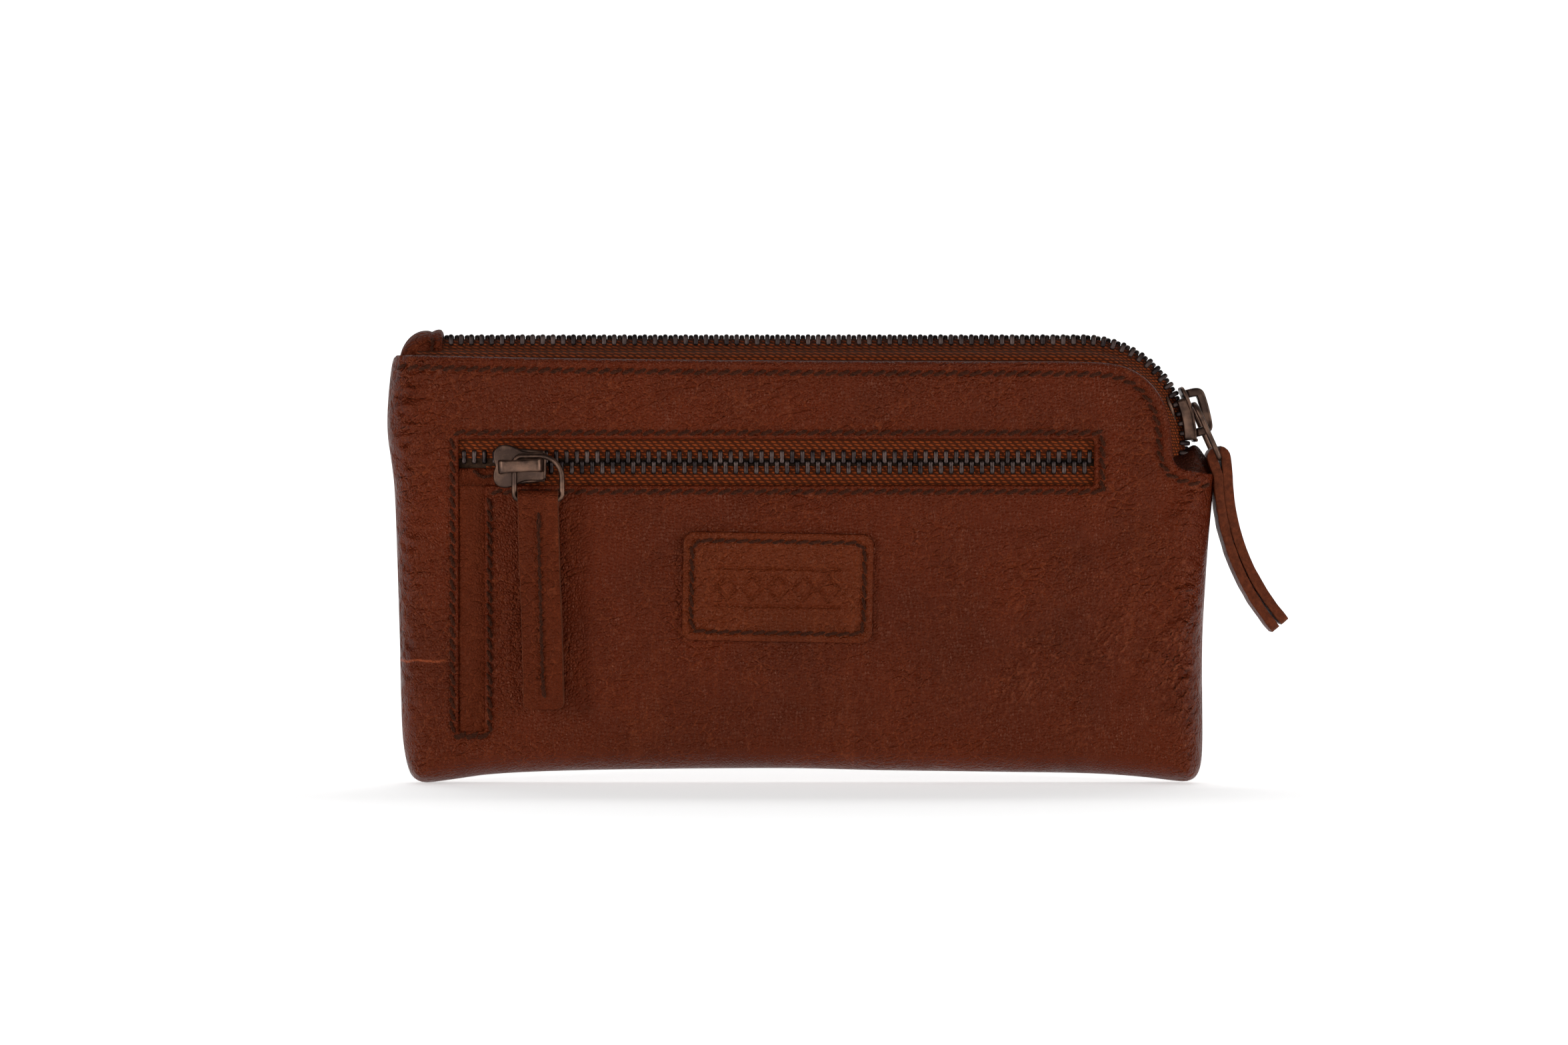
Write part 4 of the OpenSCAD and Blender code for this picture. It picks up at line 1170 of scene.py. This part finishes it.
# ---------------------------------------------------------------- materials
class Nodes:
    """A material's node tree, with short ways to add and join nodes."""

    def __init__(self, name):
        self.material = bpy.data.materials.new(name)
        self.material.use_nodes = True
        self.tree = self.material.node_tree
        self.shader = self.tree.nodes["Principled BSDF"]
        self.where = self.add("ShaderNodeTexCoord").outputs["Object"]

    def add(self, kind, **settings):
        node = self.tree.nodes.new(kind)
        for key, value in settings.items():
            setattr(node, key, value)
        return node

    def put(self, socket, value):
        if isinstance(value, bpy.types.NodeSocket):
            self.tree.links.new(value, socket)
        else:
            socket.default_value = value

    def constants(self, **values):
        """Sets the shader's own sockets, named with _ for a space."""
        for key, value in {"IOR": 1.45, "Anisotropic": 0.0, **values}.items():
            self.shader.inputs[key.replace("_", " ")].default_value = value

    def scaled(self, scale):
        node = self.add("ShaderNodeMapping")
        self.put(node.inputs["Vector"], self.where)
        node.inputs["Scale"].default_value = scale
        return node.outputs["Vector"]

    def noise(self, scale, detail=4, rough=0.55, stretch=(1.0, 1.0, 1.0)):
        node = self.add("ShaderNodeTexNoise")
        self.put(node.inputs["Vector"], self.scaled(stretch))
        node.inputs["Scale"].default_value = scale
        node.inputs["Detail"].default_value = detail
        node.inputs["Roughness"].default_value = rough
        return node.outputs[0]

    def cells(self, scale, feature):
        node = self.add("ShaderNodeTexVoronoi", feature=feature)
        self.put(node.inputs["Vector"], self.scaled((1.0, 1.0, 1.0)))
        node.inputs["Scale"].default_value = scale
        return node.outputs["Distance"]

    def ramp(self, value, low, high, to_low=0.0, to_high=1.0):
        node = self.add("ShaderNodeMapRange")
        self.put(node.inputs["Value"], value)
        for key, v in zip(("From Min", "From Max", "To Min", "To Max"), (low, high, to_low, to_high)):
            node.inputs[key].default_value = v
        return node.outputs["Result"]

    def mix(self, share, a, b):
        node = self.add("ShaderNodeMix", data_type="RGBA")
        self.put(node.inputs[0], share)
        self.put(node.inputs[6], a)
        self.put(node.inputs[7], b)
        return node.outputs[2]

    def mark(self, key):
        """A vertex attribute of the mesh, 0 where the mesh has none."""
        return self.add("ShaderNodeAttribute", attribute_name=key).outputs["Fac"]

    def drawn_cells(self, scale, lean, stretch, feature="SMOOTH_F1"):
        """Cells drawn out along a line that leans by so many degrees in the XZ plane."""
        turn, squeeze = self.add("ShaderNodeMapping"), self.add("ShaderNodeMapping")
        self.put(turn.inputs["Vector"], self.where)
        turn.inputs["Rotation"].default_value = (0, math.radians(lean), 0)
        self.put(squeeze.inputs["Vector"], turn.outputs["Vector"])
        squeeze.inputs["Scale"].default_value = (stretch, 1, 1)
        sway = self.add("ShaderNodeTexNoise")
        self.put(sway.inputs["Vector"], self.where)
        sway.inputs["Scale"].default_value = scale * 0.9
        warp = self.add("ShaderNodeVectorMath", operation="MULTIPLY_ADD")
        self.put(warp.inputs[0], sway.outputs["Color"])
        warp.inputs[1].default_value = (0.55 / scale,) * 3
        self.put(warp.inputs[2], squeeze.outputs["Vector"])
        node = self.add("ShaderNodeTexVoronoi", feature=feature)
        node.inputs["Scale"].default_value = scale
        self.put(node.inputs["Vector"], warp.outputs["Vector"])
        return node.outputs["Distance"]

    def bands(self, period, way):
        """Soft stripes, one in each period of so many metres."""
        node = self.add("ShaderNodeTexWave", bands_direction=way)
        self.put(node.inputs["Vector"], self.where)
        settings = {"Scale": 0.314 / period, "Distortion": 1.2, "Detail": 1.0, "Detail Scale": 2.0}
        for key, value in settings.items():
            node.inputs[key].default_value = value
        return node.outputs["Fac"]

    def maths(self, operation, *values):
        node = self.add("ShaderNodeMath", operation=operation)
        for socket, value in zip(node.inputs, values):
            self.put(socket, value)
        return node.outputs[0]

    def bump(self, height, depth, below=None):
        node = self.add("ShaderNodeBump")
        node.inputs["Distance"].default_value = depth
        self.put(node.inputs["Height"], height)
        if below is not None:
            self.put(node.inputs["Normal"], below)
        return node.outputs["Normal"]

    def finish(self, colour, roughness, normal=None):
        self.put(self.shader.inputs["Base Color"], colour)
        self.put(self.shader.inputs["Roughness"], roughness)
        if normal is not None:
            self.put(self.shader.inputs["Normal"], normal)
        return self.material


def rgb(r, g, b):
    """A colour from its screen values, 0 to 255."""
    parts = [((c / 255 + 0.055) / 1.055) ** 2.4 if c > 10 else c / 255 / 12.92 for c in (r, g, b)]
    return (*parts, 1.0)


WARM, SHEEN_TINT = (1.0, 0.55, 0.4, 1.0), (1.0, 0.6, 0.4, 1.0)  # of cloth and cut leather


def scratch(m):
    """1 along the pale scratch that crosses the front's left edge, 0 elsewhere."""
    split = m.add("ShaderNodeSeparateXYZ")
    m.put(split.inputs[0], m.where)
    height = m.maths("MULTIPLY_ADD", m.noise(260, 2), 0.0012, split.outputs["Z"])
    off = m.maths("ABSOLUTE", m.maths("SUBTRACT", height, 0.0309))
    near = m.ramp(off, 0.0001, 0.0004, 1.0, 0.0)
    reach = m.maths("MULTIPLY", m.ramp(split.outputs["X"], -0.0885, -0.0855, 1.0, 0.0),
                    m.ramp(split.outputs["Y"], -0.001, 0.0, 1.0, 0.0))
    return m.maths("MULTIPLY", near, reach)


def leather(name, dark, light, worn, rough=(0.3, 0.48), level=0.28, scratched=False):
    """Pebbled, waxed leather: uneven dye, veins, a net of creases, and beads where the grain is drawn, with
    painted highlights (pale glints) on the beads' centres.
    """
    m = Nodes(name)
    blotch = m.ramp(m.noise(38, 5, 0.6), 0.25, 0.78)
    fine = m.ramp(m.noise(520, 3, 0.6), 0.3, 0.7)
    veins = m.ramp(m.noise(120, 3, 0.6, (1.0, 1.0, 0.22)), 0.58, 0.74)
    pebble = m.cells(1250, "DISTANCE_TO_EDGE")
    crease = m.drawn_cells(520, 28, 0.55, "DISTANCE_TO_EDGE")
    patches = m.ramp(m.noise(70, 4, 0.6), 0.36, 0.66)
    colour = m.mix(blotch, dark, light)
    colour = m.mix(m.maths("MULTIPLY", fine, 0.22), colour, light)
    colour = m.mix(m.maths("MULTIPLY", veins, 0.2), colour, worn)
    colour = m.mix(m.maths("MULTIPLY", m.ramp(crease, 0.0, 0.08, 0.42, 0.0), patches), colour, worn)
    colour = m.mix(m.ramp(pebble, 0.0, 0.14, 0.4, 0.0), colour, dark)
    beads, slanted = m.drawn_cells(1050, 60, 0.55), m.mark("slanted")
    # Painted highlight: where the grain is drawn, the bead centres are paled towards rgb(134, 70, 46) to
    # stand for glints.
    colour = m.mix(m.maths("MULTIPLY", m.ramp(beads, 0.1, 0.42, 0.6, 0.0), slanted), colour, rgb(134, 70, 46))
    if scratched:
        colour = m.mix(m.maths("MULTIPLY", scratch(m), 0.6), colour, rgb(150, 72, 42))
    normal = m.bump(m.ramp(pebble, 0.0, 0.35), 0.00016)
    normal = m.bump(m.maths("MULTIPLY", m.ramp(crease, 0.0, 0.2), patches), 0.0003, normal)
    normal = m.bump(m.noise(2100, 3, 0.6), 0.00006, normal)
    normal = m.bump(m.noise(330, 4, 0.6, (1.0, 1.0, 0.5)), 0.00022, normal)
    normal = m.bump(m.maths("MULTIPLY", m.ramp(beads, 0.05, 0.6, 1.0, 0.0), slanted), 0.0006, normal)
    normal = m.bump(m.maths("MULTIPLY", m.drawn_cells(480, 4, 0.3), m.mark("level")), 0.0022, normal)
    m.constants(Specular_IOR_Level=level, Sheen_Weight=0.0, Sheen_Roughness=0.5,
                Specular_Tint=(1.0, 0.5, 0.32, 1.0))
    return m.finish(colour, m.ramp(m.noise(160, 4, 0.6), 0.3, 0.7, *rough), normal)


def raw_edge(name, dark, light):
    """Cut leather: fibrous, matt and lighter than the face; the turned edge uses it darker than the face, as
    painted shade along the rims.
    """
    m = Nodes(name)
    colour = m.mix(m.ramp(m.noise(900, 5, 0.7), 0.3, 0.72), dark, light)
    m.constants(Specular_IOR_Level=0.2, Sheen_Weight=0.05, Sheen_Roughness=0.6, Specular_Tint=WARM,
                Sheen_Tint=SHEEN_TINT)
    return m.finish(colour, m.ramp(m.noise(400), 0.3, 0.7, 0.72, 0.92), m.bump(m.noise(1600, 4, 0.7), 0.0002))


def cloth(name, dark, light, per_metre, depth=0.00008, sheen=0.25):
    """Woven cloth or thread, with so many yarns in a metre."""
    m = Nodes(name)
    thread = m.cells(per_metre, "SMOOTH_F1")
    colour = m.mix(m.ramp(thread, 0.1, 0.7), light, dark)
    colour = m.mix(m.maths("MULTIPLY", m.ramp(m.noise(300, 4), 0.3, 0.7), 0.4), colour, light)
    m.constants(Specular_IOR_Level=0.2, Sheen_Weight=sheen, Sheen_Roughness=0.55, Specular_Tint=WARM,
                Sheen_Tint=SHEEN_TINT)
    return m.finish(colour, m.ramp(m.noise(600), 0.3, 0.7, 0.7, 0.9), m.bump(thread, depth))


def knit(name, dark, light):
    """Zip tape: ribs across and along, with a slight fuzz."""
    m = Nodes(name)
    ribs = m.maths("MULTIPLY", m.bands(0.0009, "DIAGONAL"), m.bands(0.00075, "Z"))
    colour = m.mix(m.ramp(ribs, 0.1, 0.7), dark, light)
    colour = m.mix(m.maths("MULTIPLY", m.ramp(m.noise(700, 4), 0.3, 0.7), 0.35), colour, dark)
    m.constants(Specular_IOR_Level=0.15, Sheen_Weight=0.03, Sheen_Roughness=0.55, Specular_Tint=WARM,
                Sheen_Tint=SHEEN_TINT)
    return m.finish(colour, m.ramp(m.noise(600), 0.3, 0.7, 0.72, 0.92), m.bump(ribs, 0.00016))


def metal(name, dark, bright, rough):
    """Antique bronze: darker or worn brighter in patches of noise."""
    m = Nodes(name)
    worn = m.ramp(m.noise(260, 5, 0.6), 0.42, 0.68)
    colour = m.mix(worn, dark, bright)
    m.constants(Metallic=1.0, Specular_IOR_Level=0.5)
    normal = m.bump(m.noise(1800, 3, 0.6), 0.00003)
    return m.finish(colour, m.ramp(m.noise(520, 4, 0.6), 0.3, 0.7, *rough), normal)


# ---------------------------------------------------------------- floor, camera and light
WORLD, WORLD_SEEN = 0.08, 0.95  # its strength as light, and as the camera sees it
CAMERA_BACK, CAMERA_X, CAMERA_Z = 1.0606, -0.0039, 0.064
LIGHTS = [
    # name, place, aimed at, size, power in watts
    ("sweep_light", (0, 1.4, 2.4), (0, 1.8, 0.4), (3.5, 0.8), 26),
    ("top_softbox", (0, -0.35, 1.5), (0, 0, 0.05), (1.6, 0.5), 1.2),
    ("left_softbox", (-0.62, -0.42, 0.06), (0, 0, 0.05), (0.14, 0.5), 3.0),
    ("right_softbox", (0.66, -0.36, 0.08), (0, 0, 0.05), (0.14, 0.5), 3.2),
    ("low_key", (-0.1, -0.75, 0.06), (0, 0, 0.03), (0.6, 0.12), 1.2),
]


def placed(name, data):
    """A new object of a mesh, a lamp's data or a camera's data, linked to the scene."""
    thing = bpy.data.objects.new(name, data)
    bpy.context.scene.collection.objects.link(thing)
    return thing


def floor():
    """A pale floor that bends up into a backdrop, both one sheet."""
    material = Nodes("pale_floor")
    material.constants(Specular_IOR_Level=0.1, IOR=1.5, Emission_Color=(1, 1, 1, 1), Emission_Strength=0.5)
    bend, up = 0.8, np.linspace(0.1, math.pi / 2, 12)
    y = np.concatenate([np.linspace(-3, 1.4, 12), 1.4 + bend * np.sin(up), [2.2, 2.2]])
    z = np.concatenate([np.zeros(12), bend * (1 - np.cos(up)), [1.6, 3.0]])
    points = [(x, y[k], z[k]) for k in range(len(y)) for x in (-4.0, 0.0, 4.0)]
    mesh = bpy.data.meshes.new("floor")
    mesh.from_pydata(points, [], grid_faces(len(y), 3).tolist())
    mesh.polygons.foreach_set("use_smooth", [True] * len(mesh.polygons))
    mesh.materials.append(material.finish((0.93, 0.93, 0.93, 1), 0.9))
    placed("floor", mesh)


def world():
    """Plain white where the camera sees it, and dim as a light."""
    studio_world = bpy.data.worlds.new("studio_world")
    bpy.context.scene.world = studio_world
    studio_world.use_nodes = True
    nodes, links = studio_world.node_tree.nodes, studio_world.node_tree.links
    path, strength = nodes.new("ShaderNodeLightPath"), nodes.new("ShaderNodeMapRange")
    strength.inputs["To Min"].default_value = WORLD
    strength.inputs["To Max"].default_value = WORLD_SEEN
    nodes["Background"].inputs["Color"].default_value = (1, 1, 1, 1)
    links.new(path.outputs["Is Camera Ray"], strength.inputs["Value"])
    links.new(strength.outputs["Result"], nodes["Background"].inputs["Strength"])


def lamps():
    """Soft rectangular lamps that the camera doesn't see."""
    for name, place, aim, size, power in LIGHTS:
        data = bpy.data.lights.new(name, "AREA")
        data.shape, data.size, data.size_y = "RECTANGLE", size[0], size[1]
        data.energy = power
        lamp = placed(name, data)
        lamp.location = place
        lamp.rotation_euler = (Vector(aim) - Vector(place)).to_track_quat("-Z", "Y").to_euler()
        lamp.visible_camera = False


def camera():
    """Square to the front, a metre away."""
    data = bpy.data.cameras.new("camera")
    data.lens, data.sensor_width = 100, 36
    viewer = placed("camera", data)
    viewer.location = (CAMERA_X, FACE_Y * MM - CAMERA_BACK, CAMERA_Z)
    viewer.rotation_euler = (math.pi / 2, 0, 0)
    bpy.context.scene.camera = viewer
    bpy.context.scene.view_settings.view_transform = "Standard"


# ---------------------------------------------------------------- the object
def panels(dark, turned):
    """Both leather panels, each one skin with a turned hem; their rims take the turned-edge material,
    darkened as painted shade.
    """
    front = slab(OUTLINE, [HOLE_EDGE], lambda x, z: face_y(x, z), LEATHER, seam=SEAM)
    front.build("front_leather", "pouch", "leather_dark", [dark, turned], ("front_panel",), marks=STRAIN)
    back = slab(OUTLINE, [], lambda x, z: face_y(x, z, True), LEATHER, back=True, seam=SEAM)
    back.build("back_leather", "pouch", "leather_dark", [dark, turned], ("back_panel",), marks=STRAIN)


def stitching(thread):
    """The rows of stitches along the hem, round the pocket's zip and round the slot."""
    hem = hem_line(HEM_ROW)[1:]
    panel_stitches("hem_stitches_front", [hem], thread, "hem_stitching_front")
    panel_stitches("hem_stitches_back", [hem], thread, "hem_stitching_back", back=True)
    x0, x1, z0, z1 = WINDOW
    right, low, high = x1 + 2.1, z0 - 1.7, z1 + 1.6
    rows = [[(x0 - 1.3, high), (right, high)], [(right, z1 + 1.0), (right, z0 - 1.6)],
            [(SLOT_X1 + 1.6, low), (right, low)]]
    panel_stitches("pocket_stitches", rows, thread, "pocket_stitching")
    left, slot_right, foot = x0 - 1.5, SLOT_X1 + 1.2, SLOT_Z
    rows = [[(left, z1 + 0.4), (left, foot - 0.4)], [(slot_right, z0 - 3.2), (slot_right, foot - 0.2)],
            [(x0 - 1.2, foot - 0.9), (SLOT_X1 + 1.4, foot - 0.9)],
            [(x0 - 0.8, foot - 1.3), (SLOT_X1 + 1.0, foot - 1.3)]]
    panel_stitches("slot_stitches", rows, thread, "slot_stitching")


def zips(tape, steel):
    """Both zips' tapes and teeth; in each zip the second row of teeth is half a pitch along."""
    main_tape("main_tape_front", -1, tape)
    main_tape("main_tape_back", 1, tape)
    main_teeth("main_teeth_front", -1, 0.0, steel)
    main_teeth("main_teeth_back", 1, 0.5, steel)
    pocket_tape("pocket_tape_upper", 1, -85, tape)
    pocket_tape("pocket_tape_lower", -1, SLOT_X1 + 0.4, tape)
    pocket_teeth("pocket_teeth_upper", 1, WINDOW[0] + 0.4, 0.0, steel)
    pocket_teeth("pocket_teeth_lower", -1, SLOT_X1 + 1.4, 0.5, steel)


def bags(lining):
    """The zipped pocket's bag and the upright slot's bag, a little smaller than their CAD nodes."""
    low, high = box("pocket_bag_edge")
    bag("pocket_bag_cloth", low + [0.3, 0.3, 0.3], high - [0.3, 0.3, 0.3], lining,
        ("pocket_bag_front", "pocket_bag_back", "pocket_bag_edge"), 4)
    low, high = box("slip_bag")
    bag("slip_bag_cloth", low + [0.3, 0.12, 0.3], high - [0.3, 0.05, 0.3], lining, ("slip_bag",), 2, "left")


def build():
    """Makes the materials and every piece."""
    dark = leather("leather_dark", rgb(60, 17, 5), rgb(87, 28, 8), rgb(122, 56, 28), scratched=True)
    patch = leather("leather_patch", rgb(69, 23, 6), rgb(94, 35, 12), rgb(122, 58, 30))
    trim = leather("leather_trim", rgb(62, 20, 7), rgb(86, 31, 11), rgb(114, 52, 27), (0.44, 0.62), 0.2)
    deep = leather("leather_gusset", rgb(34, 12, 6), rgb(54, 19, 9), rgb(70, 30, 18), (0.44, 0.62), 0.2)
    raw = raw_edge("leather_raw_edge", rgb(58, 24, 12), rgb(98, 46, 26))
    # The turned edge is coloured darker than the face as painted shade, so the rims along the hem and under
    # the zip tape read as shadow.
    turned = raw_edge("leather_turned_edge", rgb(30, 11, 5), rgb(58, 23, 11))
    lining = cloth("lining_cloth", rgb(34, 24, 18), rgb(66, 48, 36), 2200)
    tape = knit("zip_tape", rgb(58, 23, 9), rgb(140, 62, 26))
    steel = metal("zip_metal", rgb(40, 34, 34), rgb(84, 70, 66), (0.34, 0.52))
    bronze = metal("slider_metal", rgb(62, 48, 42), rgb(112, 86, 72), (0.36, 0.52))
    thread = cloth("thread", rgb(22, 9, 5), rgb(62, 27, 15), 3000, 0.00006, 0.05)

    panels(dark, turned)
    stitching(thread)
    zips(tape, steel)
    pocket_slider([bronze])
    main_slider([bronze])
    pocket_pull([trim, raw], thread)
    main_pull([trim, raw])
    label_patch([patch, raw], thread)
    slot_welt([trim])
    slot_fold([trim], thread)
    end_tab([trim], thread)
    notch_gusset([deep])
    linings(lining)
    bags(lining)


build()
floor()
world()
lamps()
camera()
